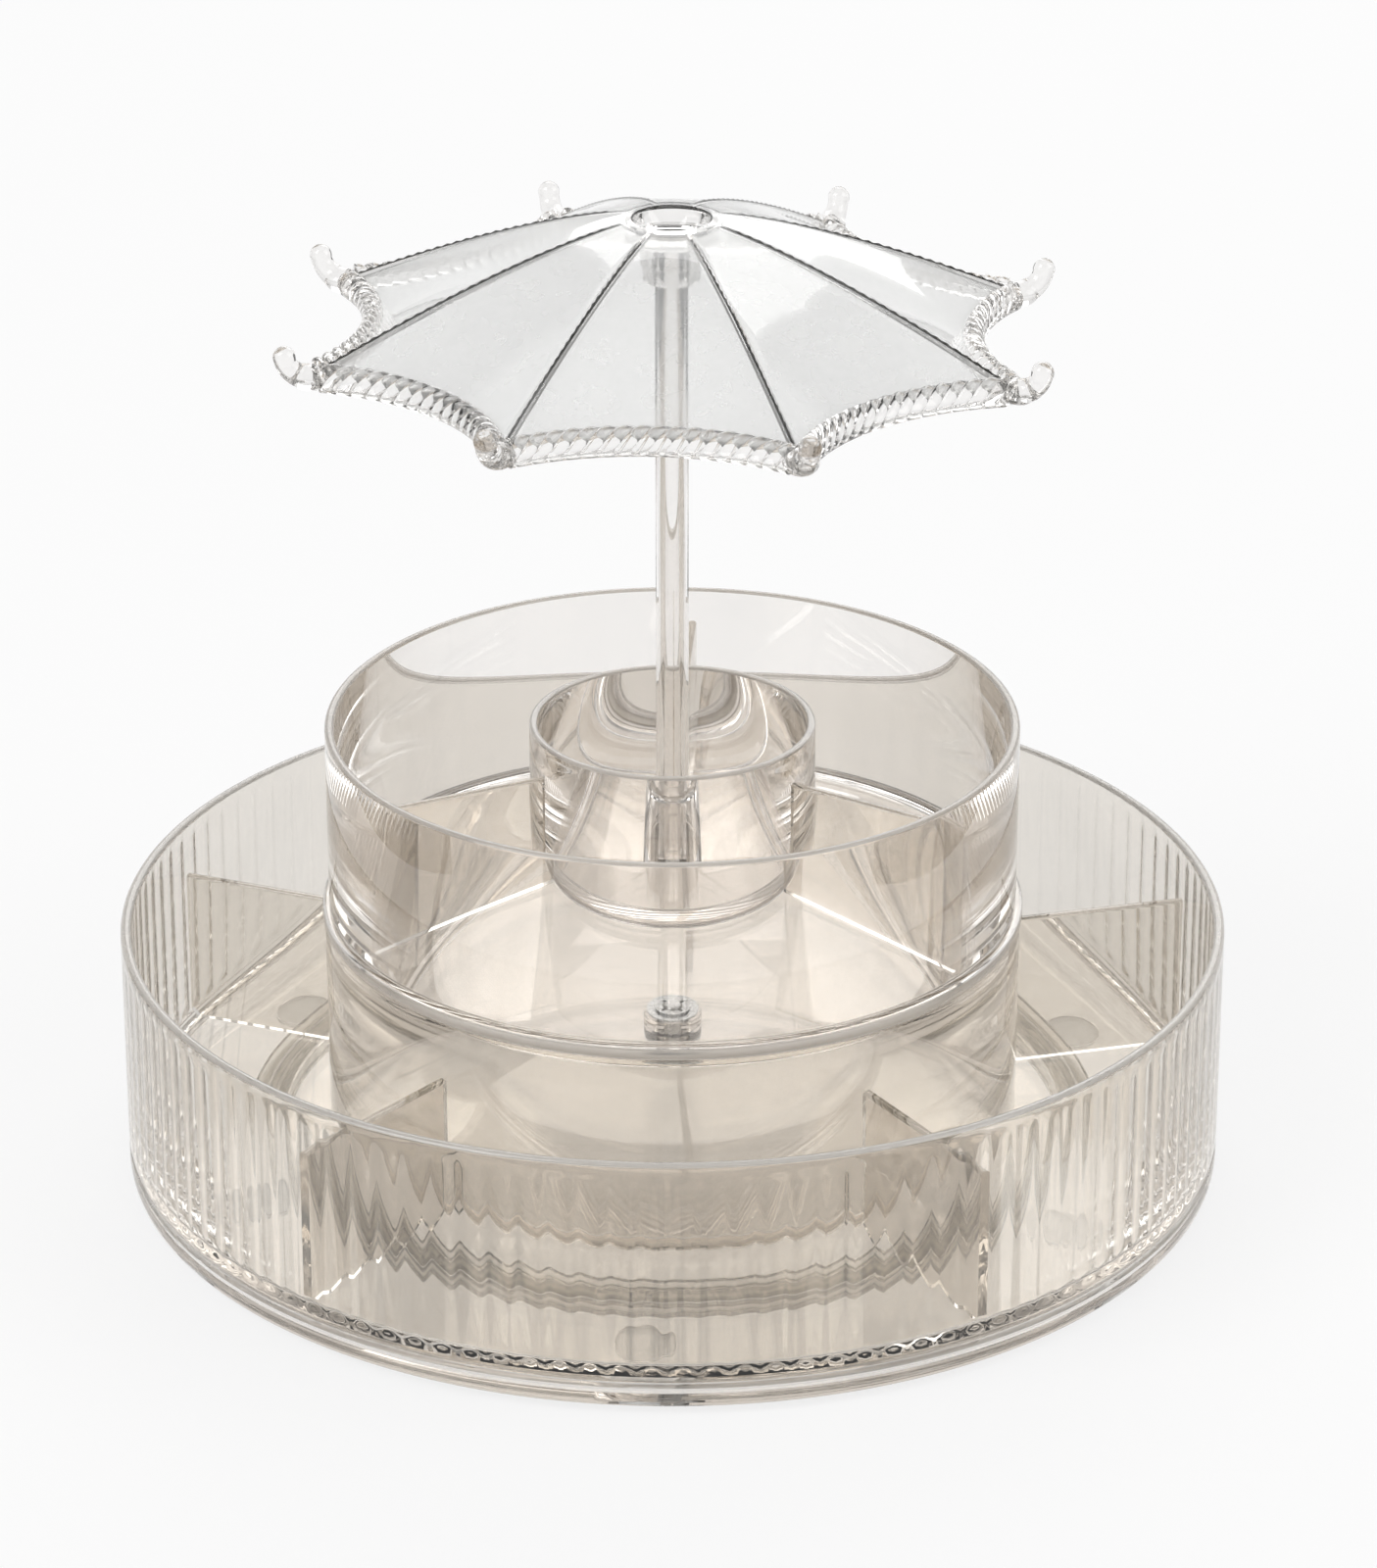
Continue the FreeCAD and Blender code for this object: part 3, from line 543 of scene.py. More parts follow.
# %% Turn the tray
FLUTES = 120
COLUMNS = 6
FLUTE_DEPTH = 0.32  # 0.55 in the solids, where the flutes in front would show too strongly
UNDER = 9.7  # underside of the tray's floor, over the skirt
FLOOR = TRAY_LOW + 4.3
HUB_HOLE, HUB_TOP = 3.08, 17.7
WALL_IN = 147
RING_IN, RING_OUT = 89.3, 91.5  # low rings that centre the drum, on the floor and under the upper tray
FLUTE_LOW = TRAY_LOW + 4.7
FLUTE_HIGH = TRAY_RIM - 3.0
tray = turned("fluted_tray", [
    (HUB_HOLE, UNDER, 0), (RACE_MID - RACE_HALF, UNDER, 0), (RACE_MID - RACE_HALF, UNDER + RACE_SEAT, 0),
    (RACE_MID + RACE_HALF, UNDER + RACE_SEAT, 0), (RACE_MID + RACE_HALF, UNDER, 0), (EDGE_IN, UNDER, 0),
    (EDGE_IN, TRAY_LOW, 0.5), (OUTER, TRAY_LOW, 2.4),
    (OUTER, FLUTE_LOW, 0), (OUTER, FLUTE_LOW + 1, 0), (OUTER, FLUTE_LOW + 3, 0), (OUTER, FLUTE_HIGH - 3, 0),
    (OUTER, FLUTE_HIGH - 1, 0), (OUTER, FLUTE_HIGH, 0), (OUTER, TRAY_RIM, 1.3), (WALL_IN, TRAY_RIM, 1.3),
    (WALL_IN, FLOOR, 1.5), (RING_OUT, FLOOR, 0), (RING_OUT, FLOOR + 3, 0.3), (RING_IN, FLOOR + 3, 0.3),
    (RING_IN, FLOOR, 0), (BOSS_R, FLOOR, 0), (BOSS_R, HUB_TOP, 0.8), (HUB_HOLE, HUB_TOP, 0),
], FLUTES * COLUMNS, 24.0)
print("tray wall:", FLUTES, "flutes in", FLUTES * COLUMNS, "steps")

# %% [markdown]
# Scaling a column towards the axis with the centre set to the axis itself moves it straight in. The
# middle of a flute goes in furthest and its crests stay, and near both ends it goes in by half as
# much, so that the scoop runs out softly, as a rounded cutter in the mould leaves it.

# %% Scoop the flutes
def in_column(p, column):
    """Is this a wall vertex between the flute ends, in the given column of its flute?"""
    if math.hypot(p.x, p.y) < OUTER - 0.2 or not FLUTE_LOW + 0.5 < p.z < FLUTE_HIGH - 0.5:
        return False
    return round(math.atan2(p.y, p.x) / TURN * FLUTES * COLUMNS) % COLUMNS == column


RUN_OUT = 0.55
only(tray)
bpy.ops.object.mode_set(mode="EDIT")
for column in range(1, COLUMNS):
    across = 2 * column / COLUMNS - 1
    depth = FLUTE_DEPTH * (1 - across ** 2)
    for low, high, share in ((FLUTE_LOW + 0.5, FLUTE_LOW + 2, RUN_OUT),
                             (FLUTE_HIGH - 2, FLUTE_HIGH - 0.5, RUN_OUT),
                             (FLUTE_LOW + 2, FLUTE_HIGH - 2, 1.0)):
        choose(tray, lambda p: low < p.z < high and in_column(p, column))
        scale = 1 - share * depth / OUTER
        bpy.ops.transform.resize(value=(scale, scale, 1), center_override=(0, 0, 0))
bpy.ops.object.mode_set(mode="OBJECT")
bpy.ops.object.shade_smooth_by_angle(angle=math.radians(24))
finish(tray, tray_plastic, "tray", "clear_tray", "lower_tray")
second_coat(tray, tray_lip, lambda p: p.z > TRAY_RIM - 1.0)

# %% [markdown]
# ## The drum and the upper tier
#
# The upper tray stands on a plain clear drum. Its floor has a ring underneath that drops inside the
# drum, so it can't slide off but lifts away by hand. The cup stands in a low ring on that floor, and
# the pole's socket stands in the cup. Each is one section and one spin, like the lower tray.

# %% Drum, upper tray, cup and pole socket
drum_foot, drum_head = DRUM_LOW + SEAM, DRUM_TOP - SEAM
DRUM_IN, DRUM_OUT = 92, 94.5
drum = turned("clear_drum", [
    (DRUM_IN, drum_foot, 0.3), (DRUM_OUT, drum_foot, 0.3),
    (DRUM_OUT, drum_head, 0.6), (DRUM_IN, drum_head, 0.6),
], 240)
finish(drum, tray_plastic, "tray", "clear_tray", "support_drum")

UPPER_FLOOR = DRUM_TOP + 3
UPPER_IN, UPPER_OUT, UPPER_FOOT = 90.9, 93.4, 95.2
CUP_RING_IN, CUP_RING_OUT = 33.6, 35.8
upper = turned("upper_ring_tray", [
    (0, DRUM_TOP, 0), (RING_IN, DRUM_TOP, 0), (RING_IN, DRUM_TOP - 4, 0.3), (RING_OUT, DRUM_TOP - 4, 0.8),
    (RING_OUT, DRUM_TOP, 0), (UPPER_FOOT, DRUM_TOP, 0.8), (UPPER_FOOT, UPPER_FLOOR, 0.8),
    (UPPER_OUT, UPPER_FLOOR, 0),
    (UPPER_OUT, UPPER_RIM, 1.0), (UPPER_IN, UPPER_RIM, 1.0), (UPPER_IN, UPPER_FLOOR, 1.2),
    (CUP_RING_OUT, UPPER_FLOOR, 0), (CUP_RING_OUT, UPPER_FLOOR + 1.2, 0.3),
    (CUP_RING_IN, UPPER_FLOOR + 1.2, 0.3), (CUP_RING_IN, UPPER_FLOOR, 0), (0, UPPER_FLOOR, 0),
], 240)
finish(upper, upper_plastic, "upper_tier", "clear_tray", "upper_tray")
second_coat(upper, tray_lip, lambda p: p.z > UPPER_RIM - 0.8 or math.hypot(p.x, p.y) > UPPER_OUT + 1)

CUP_FLOOR = CUP_LOW + 3.5
CUP_IN, CUP_OUT = 36.3, 38.5
cup = turned("round_cup", [
    (0, CUP_LOW + 1.5, 0), (CUP_IN, CUP_LOW + 1.5, 0), (CUP_IN, CUP_LOW + SEAM, 0.3),
    (CUP_OUT, CUP_LOW + SEAM, 0.3),
    (CUP_OUT, CUP_TOP, 0.8), (CUP_IN, CUP_TOP, 0.8), (CUP_IN, CUP_FLOOR, 1.5), (0, CUP_FLOOR, 0),
], 160)
finish(cup, upper_plastic, "upper_tier", "clear_tray", "centre_cup")
second_coat(cup, tray_lip, lambda p: p.z > CUP_TOP - 0.7)

SOCKET_TOP = height("pole_socket")[1]
SOCKET_R, MOUTH_R, POLE_HOLE = 8.5, 5.48, 4.48
socket = turned("socket_sleeve", [
    (0, CUP_FLOOR + SEAM, 0), (SOCKET_R, CUP_FLOOR + SEAM, 0), (SOCKET_R, SOCKET_TOP, 1.5),
    (MOUTH_R, SOCKET_TOP, 0), (POLE_HOLE, SOCKET_TOP - 1, 0), (POLE_HOLE, POLE_FOOT, 0), (0, POLE_FOOT, 0),
], 64)
finish(socket, tube_plastic, "upper_tier", "clear_pole", "pole_socket")

# %% [markdown]
# ## Dividers
#
# A divider is a plain plate with a rounded top edge and polished ends that follow the walls. It
# starts as a cube at its real size. The ends are curved by cutting the plate across into a few
# columns and pushing the end vertices out or in until each lies on its wall's circle.

# %% One lower and one upper divider, copied round
EDGE_ROUND = 0.9


def divider(name, inner, outer, low, high, thick, corner):
    """Upright plate along +X from the inner wall to the outer one."""
    low += SEAM
    bpy.ops.object.select_all(action="DESELECT")
    middle = Vector(((inner + outer) / 2, 0, (low + high) / 2)) * MM
    bpy.ops.mesh.primitive_cube_add(size=1, location=middle)
    plate = bpy.context.object
    plate.name = name
    plate.scale = Vector((outer - inner, thick, high - low)) * MM
    bpy.ops.object.transform_apply(location=True, rotation=True, scale=True)
    bpy.ops.object.mode_set(mode="EDIT")
    choose(plate, lambda a, b: min(a.z, b.z) > high - 0.01 and abs(a.x - b.x) > 1, "EDGE")
    bpy.ops.mesh.bevel(offset=EDGE_ROUND * MM, segments=4)
    choose(plate, lambda a, b: max(a.z, b.z) < low + 0.01 and min(a.x, b.x) > outer - 0.01, "EDGE")
    bpy.ops.mesh.bevel(offset=corner * MM, segments=1)
    bpy.ops.object.mode_set(mode="OBJECT")
    for vertex in plate.data.vertices:
        p = vertex.co / MM
        if p.x < inner + 0.01:
            vertex.co.x = math.sqrt(inner ** 2 - p.y ** 2) * MM
        elif p.x > outer - 0.01:
            vertex.co.x = math.sqrt(outer ** 2 - p.y ** 2) * MM
    return settle(plate, 35)


GAP = 0.15  # air at both ends of a divider, left so that it can be slid in
lower_plate = divider("lower_plate", DRUM_OUT + GAP, WALL_IN - GAP, *height("lower_divider_1"),
                      thick=2.6, corner=2.0)
upper_plate = divider("upper_plate", CUP_OUT + GAP, UPPER_IN - GAP, *height("upper_divider_1"),
                      thick=2.4, corner=1.7)
for plate, count, word, body in ((lower_plate, 5, "lower", "tray"), (upper_plate, 3, "upper", "upper_tier")):
    for i in range(count):
        copied = copy_round(plate, f"{word}_plate_{i + 1}", 90 + 360 * i / count)
        finish(copied, tray_plastic, body, "clear_tray", f"{word}_divider_{i + 1}")
    bpy.data.objects.remove(plate)

# %% [markdown]
# ## The pole and its collar
#
# The pole is a drawn acrylic tube, plugged at its foot. The fine line inside it is the bore: at its
# wall the light has to leave the plastic and comes in again, so the bore shows as a darker line.

# %% Pole and collar
POLE_R, BORE_R, PLUG = 4.4, 2.3, 2
foot, head = POLE_FOOT + SEAM, POLE_TOP - SEAM
pole = turned("clear_pole", [
    (0, foot, 0), (POLE_R, foot, 0.5), (POLE_R, head, 0.5), (BORE_R, head, 0.2), (BORE_R, foot + PLUG, 0),
    (0, foot + PLUG, 0),
], 64)
finish(pole, tube_plastic, "pole", "clear_pole", "umbrella_pole")

STEP_Z = COLLAR_FOOT + 4.6
NECK_R, HEAD_R = 7.7, 8.4
collar = turned("pole_collar", [
    (POLE_HOLE, COLLAR_FOOT, 0.3), (NECK_R, COLLAR_FOOT, 0.9), (NECK_R, STEP_Z, 0), (HEAD_R, STEP_Z, 0.2),
    (HEAD_R, COLLAR_TOP - SEAM, 0), (0, COLLAR_TOP - SEAM, 0), (0, POLE_TOP, 0), (POLE_HOLE, POLE_TOP, 0),
], 64)
finish(collar, umbrella_plastic, "canopy", "clear_umbrella", "canopy_hub")

# %% [markdown]
# ## The umbrella's shell
#
# The canopy is eight panels round a crown. Seen from above each panel's edge curves in between two
# rib tips, and towards the crown that curve fades into the round crown ring. So every level of the
# shell is a ring of eight arcs, and one rule gives the arc at any level. The shell starts as a flat
# grid whose columns run round the umbrella and whose rows run from the outside edge up over the
# outer face to the middle, and back along the inner face to the edge. Each grid point is then moved
# to its place, as a sculptor would pull a lattice, which keeps the two faces one closed skin.

# %% The rule for one level
def level(share, k, travel):
    """Point on panel k at a level. Share runs 0 to 1 from crown to tips, travel is mm from rib k."""
    radius = CROWN_R + share * (TIP_R - CROWN_R)
    round_in = -CROWN_R * (1 - math.cos(HALF_PANEL))
    hollow = round_in + (SCALLOP - round_in) * share ** 2
    half_chord = radius * math.sin(HALF_PANEL)
    middle = radius * math.cos(HALF_PANEL) - hollow
    if abs(hollow) < 0.05:
        across = travel(half_chord)
        forward, sideways = middle + hollow * across ** 2, half_chord * across
    else:
        bend = (half_chord ** 2 + hollow ** 2) / (2 * abs(hollow))
        swing = math.asin(half_chord / bend)
        turn = travel(bend * swing) * swing
        forward = middle + math.copysign(bend * (1 - math.cos(turn)), hollow)
        sideways = bend * math.sin(turn)
    aim = tip_angle(k) + HALF_PANEL
    return Vector((forward * math.cos(aim) - sideways * math.sin(aim),
                   forward * math.sin(aim) + sideways * math.cos(aim), 0))


def fall(share):
    """Height of the outer face at a level."""
    return CROWN_Z - (CROWN_Z - RIM_Z) * share ** 1.3


# %% [markdown]
# A rib is not a separate bar. It is a low bead moulded on the shell, so it is made by lifting the
# columns of the grid that lie on the rib. Every second row is lifted less, which breaks the bead into
# the row of small pearls that gives the umbrella its stitched look. The shell ends inside the rope.

# %% Lay the grid over the umbrella
EDGE_SHARE = 0.951  # the shell's edge, as a share of the way from crown to tips
SHELL = 2.0
RIB_PROUD = 0.45  # 0.7 in the solids, where the ribs would draw too thick a dark line
ROWS = 56
outer_rows = [("out", EDGE_SHARE * (1 - i / ROWS)) for i in range(ROWS + 1)]
crown_rows = [("turn", (r, z)) for r, z in (
    (11.6, CROWN_Z), (10.6, CROWN_Z), (10.2, CROWN_Z - 0.3), (6.8, CROWN_Z - 4.2), (6.2, CROWN_Z - 4.4),
    (0, CROWN_Z - 4.4), (0, COLLAR_TOP), (11.5, COLLAR_TOP), (12, COLLAR_TOP + 0.5))]
inner_rows = [("in", EDGE_SHARE * i / ROWS) for i in range(ROWS + 1)]
rows = outer_rows + crown_rows + inner_rows + outer_rows[:1]
RIB_HALF = 0.7
BEAD_LOW = 0.1  # height of the bead between two pearls, as a share
near_rib = ((0, 1.0), (0.35, 0.75), (RIB_HALF, 0.0))
INSIDE = 13  # steps across the plain part of a panel


def columns():
    """Each column as its panel, its place across the arc, and its share of the rib's height."""
    found = []
    for k in range(RIBS):
        for d, proud in near_rib:
            found.append((k, lambda half, d=d: d / half - 1, proud))
        for i in range(1, INSIDE):
            found.append((k, lambda half, i=i: (2 * i / INSIDE - 1) * (1 - RIB_HALF / half), 0.0))
        for d, proud in reversed(near_rib[1:]):
            found.append((k, lambda half, d=d: 1 - d / half, proud))
    found.append((RIBS, lambda half: -1.0, 1.0))
    return found


bpy.ops.object.select_all(action="DESELECT")
ring_of_columns = columns()
bpy.ops.mesh.primitive_grid_add(x_subdivisions=len(ring_of_columns) - 1, y_subdivisions=len(rows) - 1, size=1)
canopy = bpy.context.object
canopy.name = "umbrella_shell"
for vertex in canopy.data.vertices:
    column = round((vertex.co.x + 0.5) * (len(ring_of_columns) - 1))
    row = round((vertex.co.y + 0.5) * (len(rows) - 1))
    k, travel, proud = ring_of_columns[column]
    kind, value = rows[row]
    if kind == "turn":
        p = level(0, k, travel) * (value[0] / CROWN_R)
        p.z = value[1]
    else:
        p = level(value, k, travel)
        bead = 1.0 if row % 2 else BEAD_LOW
        lift = min(1, value * 12) * RIB_PROUD * proud * bead
        p.z = fall(value) + (lift if kind == "out" else -SHELL)
    vertex.co = p * MM
settle(canopy, 30)
bpy.ops.object.mode_set(mode="EDIT")
bpy.ops.mesh.select_all(action="SELECT")
bpy.ops.mesh.delete_loose()
bpy.ops.object.mode_set(mode="OBJECT")
finish(canopy, satin_plastic, "canopy", "clear_umbrella", "canopy")

# %% [markdown]
# Beside the veiled panels the ribs and the crown look polished, so those faces get the polished
# acrylic. A mould that is etched only on the panels would give this, which is a guess.

# %% Polished ribs and crown
def on_rib(p):
    """Is this place on a raised rib line or on the crown?"""
    turn = (math.atan2(p.y, p.x) - tip_angle(0)) % (TURN / RIBS)
    aside = min(turn, TURN / RIBS - turn) * math.hypot(p.x, p.y)
    return aside < RIB_HALF or math.hypot(p.x, p.y) < CROWN_R + 1


second_coat(canopy, umbrella_plastic, on_rib)
print("polished faces:", sum(on_rib(face.center / MM) for face in canopy.data.polygons))

# %% [markdown]
# ## The rope edge
#
# The edge of each panel is moulded as a twisted rope. A rope is one section that turns as it
# travels, so it is made with the Screw modifier: a ring with three lobes, parted by sharp grooves, is
# carried along a line while it turns.

# %% One straight rope
STRANDS = 3
STRAND_PITCH = 4.4  # from one strand to the next along the rope
ROPE_WIDE = 3.0
ROPE_TALL = 4.1
GROOVE = 0.9
MITRE_SPARE = 3.4  # the straight rope ends this far short of the tips
half_chord = TIP_R * math.sin(HALF_PANEL)
BEND = (half_chord ** 2 + SCALLOP ** 2) / (2 * SCALLOP)
HALF_ROPE = BEND * math.asin(half_chord / BEND) - MITRE_SPARE
bpy.ops.object.select_all(action="DESELECT")
bpy.ops.mesh.primitive_circle_add(vertices=STRANDS * 12, radius=ROPE_WIDE * MM, rotation=(0, math.pi / 2, 0))
rope = bpy.context.object
rope.name = "rope_edge"
bpy.ops.object.transform_apply(location=True, rotation=True, scale=True)
for vertex in rope.data.vertices:
    lobe = abs(math.sin(STRANDS * math.atan2(vertex.co.z, vertex.co.y) / 2)) ** 0.6
    vertex.co *= 1 - GROOVE / ROPE_WIDE * (1 - lobe)
    vertex.co.x = -HALF_ROPE * MM
twist = rope.modifiers.new("twist", "SCREW")
twist.axis = "X"
twist.angle = -TURN * 2 * HALF_ROPE / (STRANDS * STRAND_PITCH)
twist.screw_offset = 2 * HALF_ROPE * MM
twist.steps = twist.render_steps = 150
twist.use_merge_vertices = False
bpy.ops.object.modifier_apply(modifier="twist")
print("rope:", round(2 * HALF_ROPE, 1), "mm long,", len(rope.data.vertices), "vertices")

# %% [markdown]
# Seen through clear plastic, grooves on both sides of the rope cross each other, and no loop can be
# read any more. So the twist is kept outside and on top, and the grooves under and behind are filled
# out to a smooth round. That is done for the look: how the real rope is shaped there isn't known. The
# straight rope is then pressed taller than it is wide, wrapped round the panel's arc, and mitred at
# both ends with a bisect, where it meets its neighbours under the round pads.

# %% Wrap it round the panel's arc and mitre its ends
SHOW_UP, SHOW_IN = 0.64, 0.77  # the twisted side looks up and out
FADE = 0.35  # how softly the grooves run out into the plain side
for vertex in rope.data.vertices:
    along, across, up = vertex.co / MM
    size = math.hypot(across, up)
    shown = min(1, max(0, (up * SHOW_UP - across * SHOW_IN) / size / FADE))
    across, up = (part * (1 + (1 - shown) * (ROPE_WIDE / size - 1)) for part in (across, up))
    turn = along / BEND
    middle = TIP_R * math.cos(HALF_PANEL) - SCALLOP + BEND
    span = BEND + across
    tall = RIM_Z + up * ROPE_TALL / ROPE_WIDE
    vertex.co = Vector((middle - span * math.cos(turn), span * math.sin(turn), tall)) * MM
only(rope)
bpy.ops.object.mode_set(mode="EDIT")
bpy.ops.mesh.select_all(action="DESELECT")
bpy.ops.mesh.select_mode(type="EDGE")
bpy.ops.mesh.select_non_manifold()
bpy.ops.mesh.edge_face_add()
for side in (1, -1):
    bpy.ops.mesh.select_all(action="SELECT")
    bpy.ops.mesh.bisect(plane_co=(0, 0, 0), plane_no=(-math.sin(HALF_PANEL), side * math.cos(HALF_PANEL), 0),
                        use_fill=True, clear_outer=True)
bpy.ops.object.mode_set(mode="OBJECT")
settle(rope, 50)
print("rope faces:", len(rope.data.polygons))
for k in range(RIBS):
    copied = copy_round(rope, f"rope_edge_{k + 1}", math.degrees(tip_angle(k) + HALF_PANEL))
    finish(copied, umbrella_plastic, "canopy", "clear_umbrella", f"rope_rim_{k + 1}")
bpy.data.objects.remove(rope)

# %% [markdown]
# ## Hooks
#
# A hook is a soft S: out of the round pad, down a little, and up to a blunt tip, so that a necklace
# slides in and stays. A curve with a radius at each point gives the bar its swell. A ball for the
# tip and a flattened ball for the pad are joined to it, and a voxel remesh melts the three into one
# skin with a blended root, as a mould has.

# %% One hook
bpy.ops.object.select_all(action="DESELECT")
bpy.ops.curve.primitive_nurbs_path_add()
bar = bpy.context.object
spline = bar.data.splines[0]
course = [(96.4, 237.1, 3.6), (99.4, 237.2, 3.5), (102.0, 238.0, 3.1), (104.2, 240.2, 2.8),
          (104.7, 243.2, 2.8)]
for point, (r, z, thick) in zip(spline.points, course):
    point.co = (r * MM, 0, z * MM, 1)
    point.radius = thick
spline.use_endpoint_u = True
bar.data.bevel_depth = MM
bar.data.bevel_resolution = 6
bar.data.resolution_u = 8
bar.data.use_fill_caps = True
only(bar)
bpy.ops.object.convert(target="MESH")
balls_of_hook = []
for radius, r, z in ((3.0, 104.6, 243.3), (4.6, TIP_R, RIM_Z - 0.2)):
    bpy.ops.mesh.primitive_uv_sphere_add(segments=32, ring_count=16, radius=radius * MM,
                                         location=Vector((r, 0, z)) * MM)
    balls_of_hook.append(bpy.context.object)
tip, pad = balls_of_hook
pad.scale = (1, 1, 0.72)
hook = join("hook", [bar, tip, pad])
melt = hook.modifiers.new("melt", "REMESH")
melt.mode = "VOXEL"
melt.voxel_size = 0.35 * MM
soften = hook.modifiers.new("soften", "SMOOTH")
soften.factor = 0.5
soften.iterations = 6
only(hook)
for modifier in ("melt", "soften"):
    bpy.ops.object.modifier_apply(modifier=modifier)
settle(hook, 180)
print("hook faces:", len(hook.data.polygons))
for k in range(RIBS):
    copied = copy_round(hook, f"hook_piece_{k + 1}", math.degrees(tip_angle(k)))
    finish(copied, umbrella_plastic, "canopy", "clear_umbrella", f"hook_{k + 1}")
bpy.data.objects.remove(hook)

# %% [markdown]
# ## Floor, light and camera
#
# Clear plastic is lit by what stands around it. A white floor runs to the horizon. Above the
# horizon the surroundings are bright, then a darker band, then bright again overhead, like a white
# sweep in a dim studio with a soft box on the ceiling. The dark band is what draws the grey lines
# in rims, flutes and rope, where the plastic bends light from high up.

# %% Floor
FLOOR_GLOW = 0.8  # how much of the floor shows as pure white where it is seen, which keeps the shadow
bpy.ops.object.select_all(action="DESELECT")
bpy.ops.mesh.primitive_plane_add(size=60)
floor = bpy.context.object
floor.name = "floor"
sweep, tree = material("Paper sweep, matt white")
paper = add(tree, "ShaderNodeBsdfDiffuse")
paper.inputs["Color"].default_value = linear("#F2F2F2")
glow = add(tree, "ShaderNodeEmission", Strength=1.0)
seen = add(tree, "ShaderNodeLightPath")
share = seen.outputs["Is Camera Ray"]
for kind in ("Is Glossy Ray", "Is Transmission Ray"):
    either = add(tree, "ShaderNodeMath", operation="MAXIMUM")
    tree.links.new(share, either.inputs[0])
    tree.links.new(seen.outputs[kind], either.inputs[1])
    share = either.outputs[0]
part = add(tree, "ShaderNodeMath", [(share, 0)], operation="MULTIPLY")
part.inputs[1].default_value = FLOOR_GLOW
mixed = add(tree, "ShaderNodeMixShader", [(part.outputs[0], "Fac")])
tree.links.new(paper.outputs[0], mixed.inputs[1])
tree.links.new(glow.outputs[0], mixed.inputs[2])
add(tree, "ShaderNodeOutputMaterial", [(mixed.outputs[0], "Surface")])
floor.data.materials.append(sweep)
print("floor:", round(floor.dimensions.x), "m wide")

# %% [markdown]
# Glass and clear plastic have no outline of their own. Two black cards stand just outside the
# picture, left and right. The camera never sees them, but every curved wall bends a thin slice of
# them into view, and that slice draws the wall's edge.

# %% Black cards
card_black, tree = material("Black card, matt")
fibre = add(tree, "ShaderNodeTexNoise", Scale=1 / (1.5 * MM))
shade = add(tree, "ShaderNodeValToRGB", [(fibre.outputs["Fac"], "Fac")])
shade.color_ramp.elements[0].color = linear("#1C1B1A")
shade.color_ramp.elements[1].color = linear("#2A2927")
ink = add(tree, "ShaderNodeBsdfDiffuse", [(shade.outputs["Color"], "Color")])
add(tree, "ShaderNodeOutputMaterial", [(ink.outputs[0], "Surface")])
CARD_PLACE, CARD_SIZE = (0.36, 0, 0.16), (0.3, 0.36, 1)  # metres
for side in (-1, 1):
    spot = (side * CARD_PLACE[0], *CARD_PLACE[1:])
    bpy.ops.mesh.primitive_plane_add(size=1, location=spot, rotation=(0, math.pi / 2, 0))
    card = bpy.context.object
    card.name = "card_left" if side < 0 else "card_right"
    card.scale = CARD_SIZE
    bpy.ops.object.transform_apply(location=True, rotation=True, scale=True)
    card.data.materials.append(card_black)
    card.visible_camera = card.visible_diffuse = card.visible_shadow = False
print("cards stand", CARD_PLACE[0], "m to each side")

# %% [markdown]
# The surroundings depend only on height, so a ramp over the upward part of the direction makes them.
# The stops are the white sweep, its shaded top, the dark band, and the soft box overhead. Three
# large, weak area lamps then shape the frosted faces and lay a soft shadow on the floor.

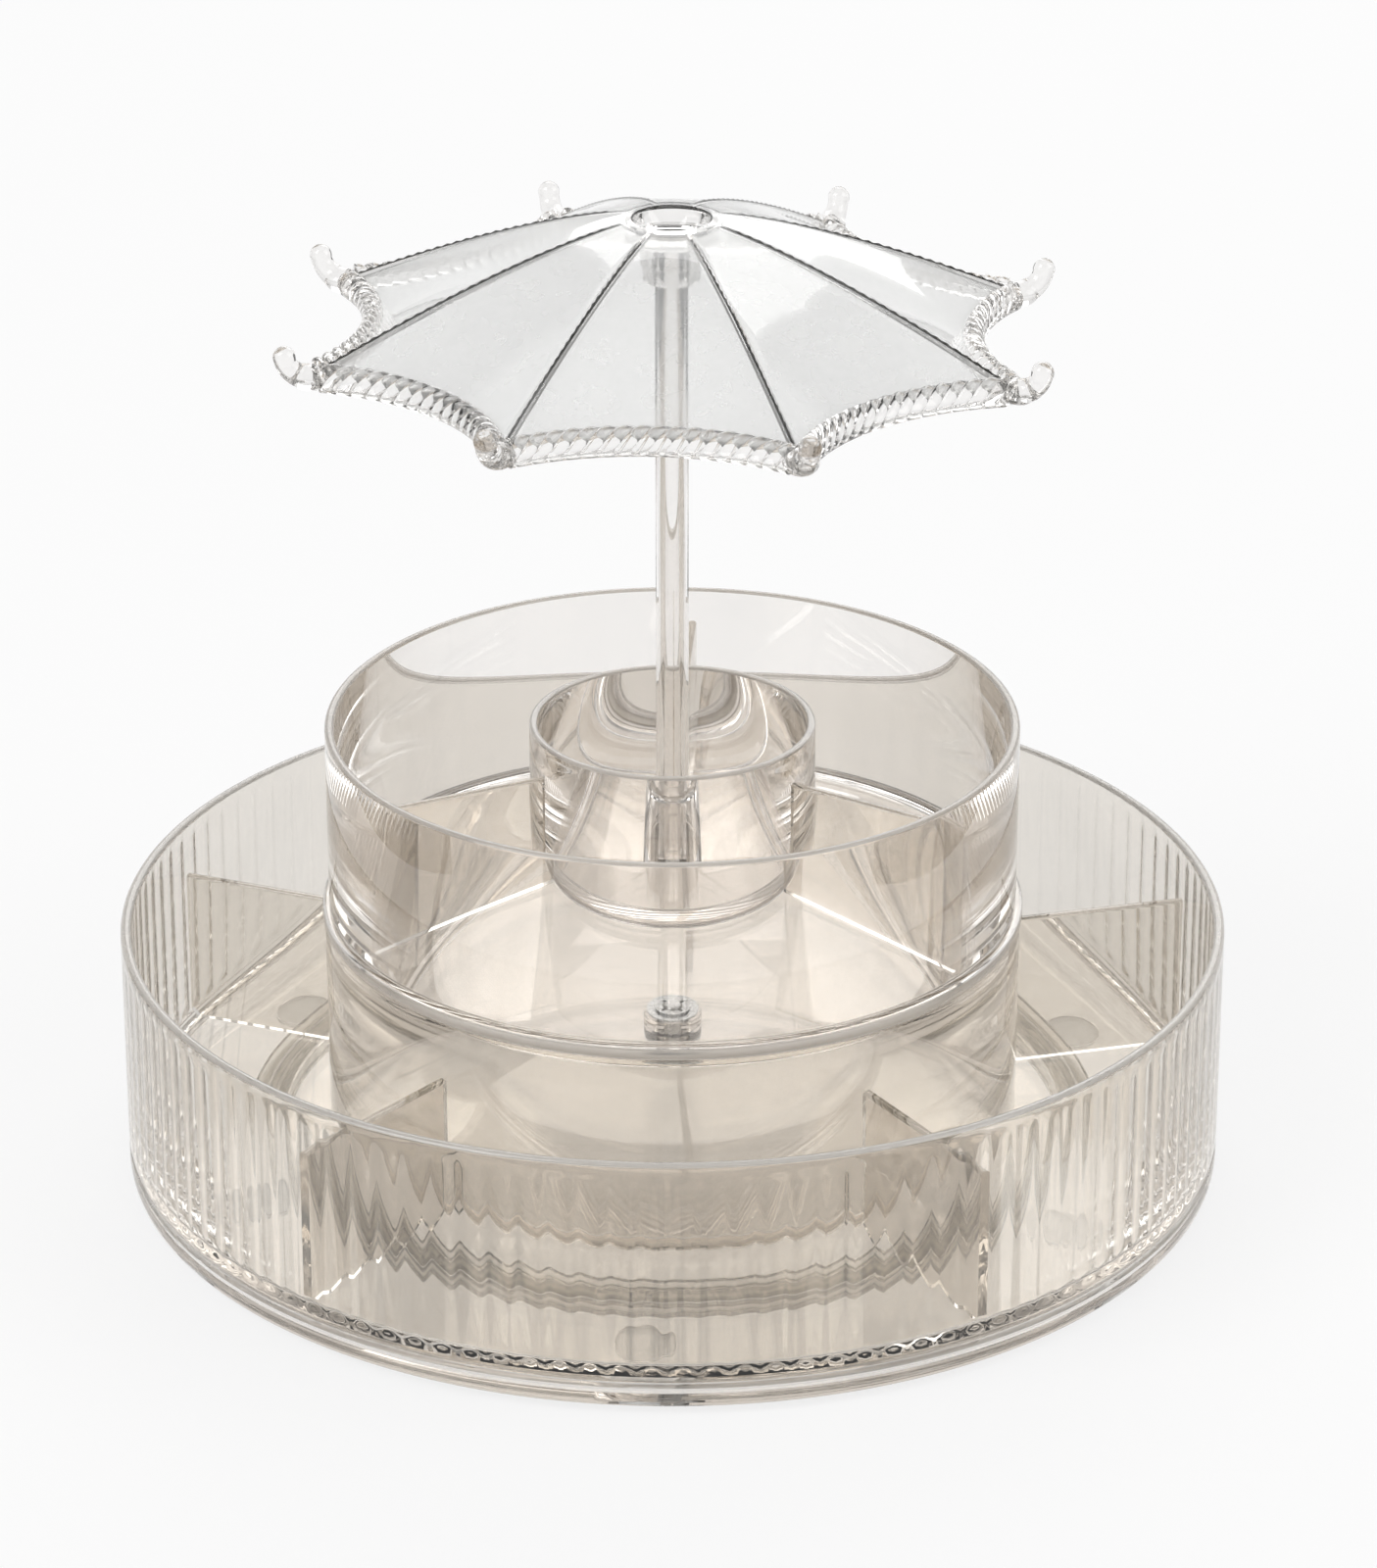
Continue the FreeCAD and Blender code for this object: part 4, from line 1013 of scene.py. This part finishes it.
# %% Surroundings
world = bpy.data.worlds.new("studio")
bpy.context.scene.world = world
world.use_nodes = True
sky = world.node_tree
sky.nodes.clear()
toward = add(sky, "ShaderNodeTexCoord").outputs["Generated"]
split = add(sky, "ShaderNodeSeparateXYZ", [(toward, "Vector")])
bands = add(sky, "ShaderNodeValToRGB", [(split.outputs["Z"], "Fac")])
stops = [(0.0, 1.0), (0.28, 0.8), (0.54, 0.7), (0.63, 0.12), (0.87, 0.12), (1.0, 0.7)]
while len(bands.color_ramp.elements) < len(stops):
    bands.color_ramp.elements.new(0.5)
for element, (place, value) in zip(bands.color_ramp.elements, stops):
    element.position = place
    element.color = (value, value, value, 1)
light = add(sky, "ShaderNodeBackground", [(bands.outputs["Color"], "Color")], Strength=1.0)
add(sky, "ShaderNodeOutputWorld", [(light.outputs[0], "Surface")])


def softbox(name, place, aim, size, watts):
    """Large square area lamp aimed at a point, all in metres."""
    data = bpy.data.lights.new(name, "AREA")
    data.size = size
    data.energy = watts
    lamp = bpy.data.objects.new(name, data)
    lamp.location = place
    lamp.rotation_euler = (Vector(aim) - Vector(place)).to_track_quat("-Z", "Y").to_euler()
    bpy.context.scene.collection.objects.link(lamp)


OBJECT_MIDDLE = (0, 0, 0.1)
softbox("key", (-1.1, -0.9, 1.6), OBJECT_MIDDLE, 1.1, 16)
softbox("fill", (1.4, -0.3, 1.3), OBJECT_MIDDLE, 1.3, 10)
softbox("back", (0.1, 1.7, 1.4), OBJECT_MIDDLE, 1.5, 14)
print("lamps:", len(bpy.data.lights))

# %% [markdown]
# A long lens from a little above keeps the two tiers round and upright. Light that is caught inside a
# clear wall bounces many times before it gets out, so the bounce limits are far above the usual ones:
# with the usual ones such walls turn black.

# %% Camera and picture settings
eye = Vector((0.0896, -1.4308, 0.7540))
heading, dip = math.radians(3.41), math.radians(24.24)
look = Vector((-math.sin(heading) * math.cos(dip), math.cos(heading) * math.cos(dip), -math.sin(dip)))
lens = bpy.data.cameras.new("camera")
lens.sensor_fit = "HORIZONTAL"
lens.sensor_width = 36
lens.lens = 152.2
camera = bpy.data.objects.new("camera", lens)
camera.location = eye
camera.rotation_euler = look.to_track_quat("-Z", "Y").to_euler()
bpy.context.scene.collection.objects.link(camera)
scene = bpy.context.scene
scene.camera = camera
scene.view_settings.view_transform = "Standard"
BOUNCES = 64
scene.cycles.max_bounces = scene.cycles.transmission_bounces = scene.cycles.glossy_bounces = BOUNCES
print("camera at", tuple(round(v, 3) for v in eye))

# %% [markdown]
# The script ends by printing how many pieces were made.

# %% The count of pieces, and the end
print("pieces:", len(pieces))
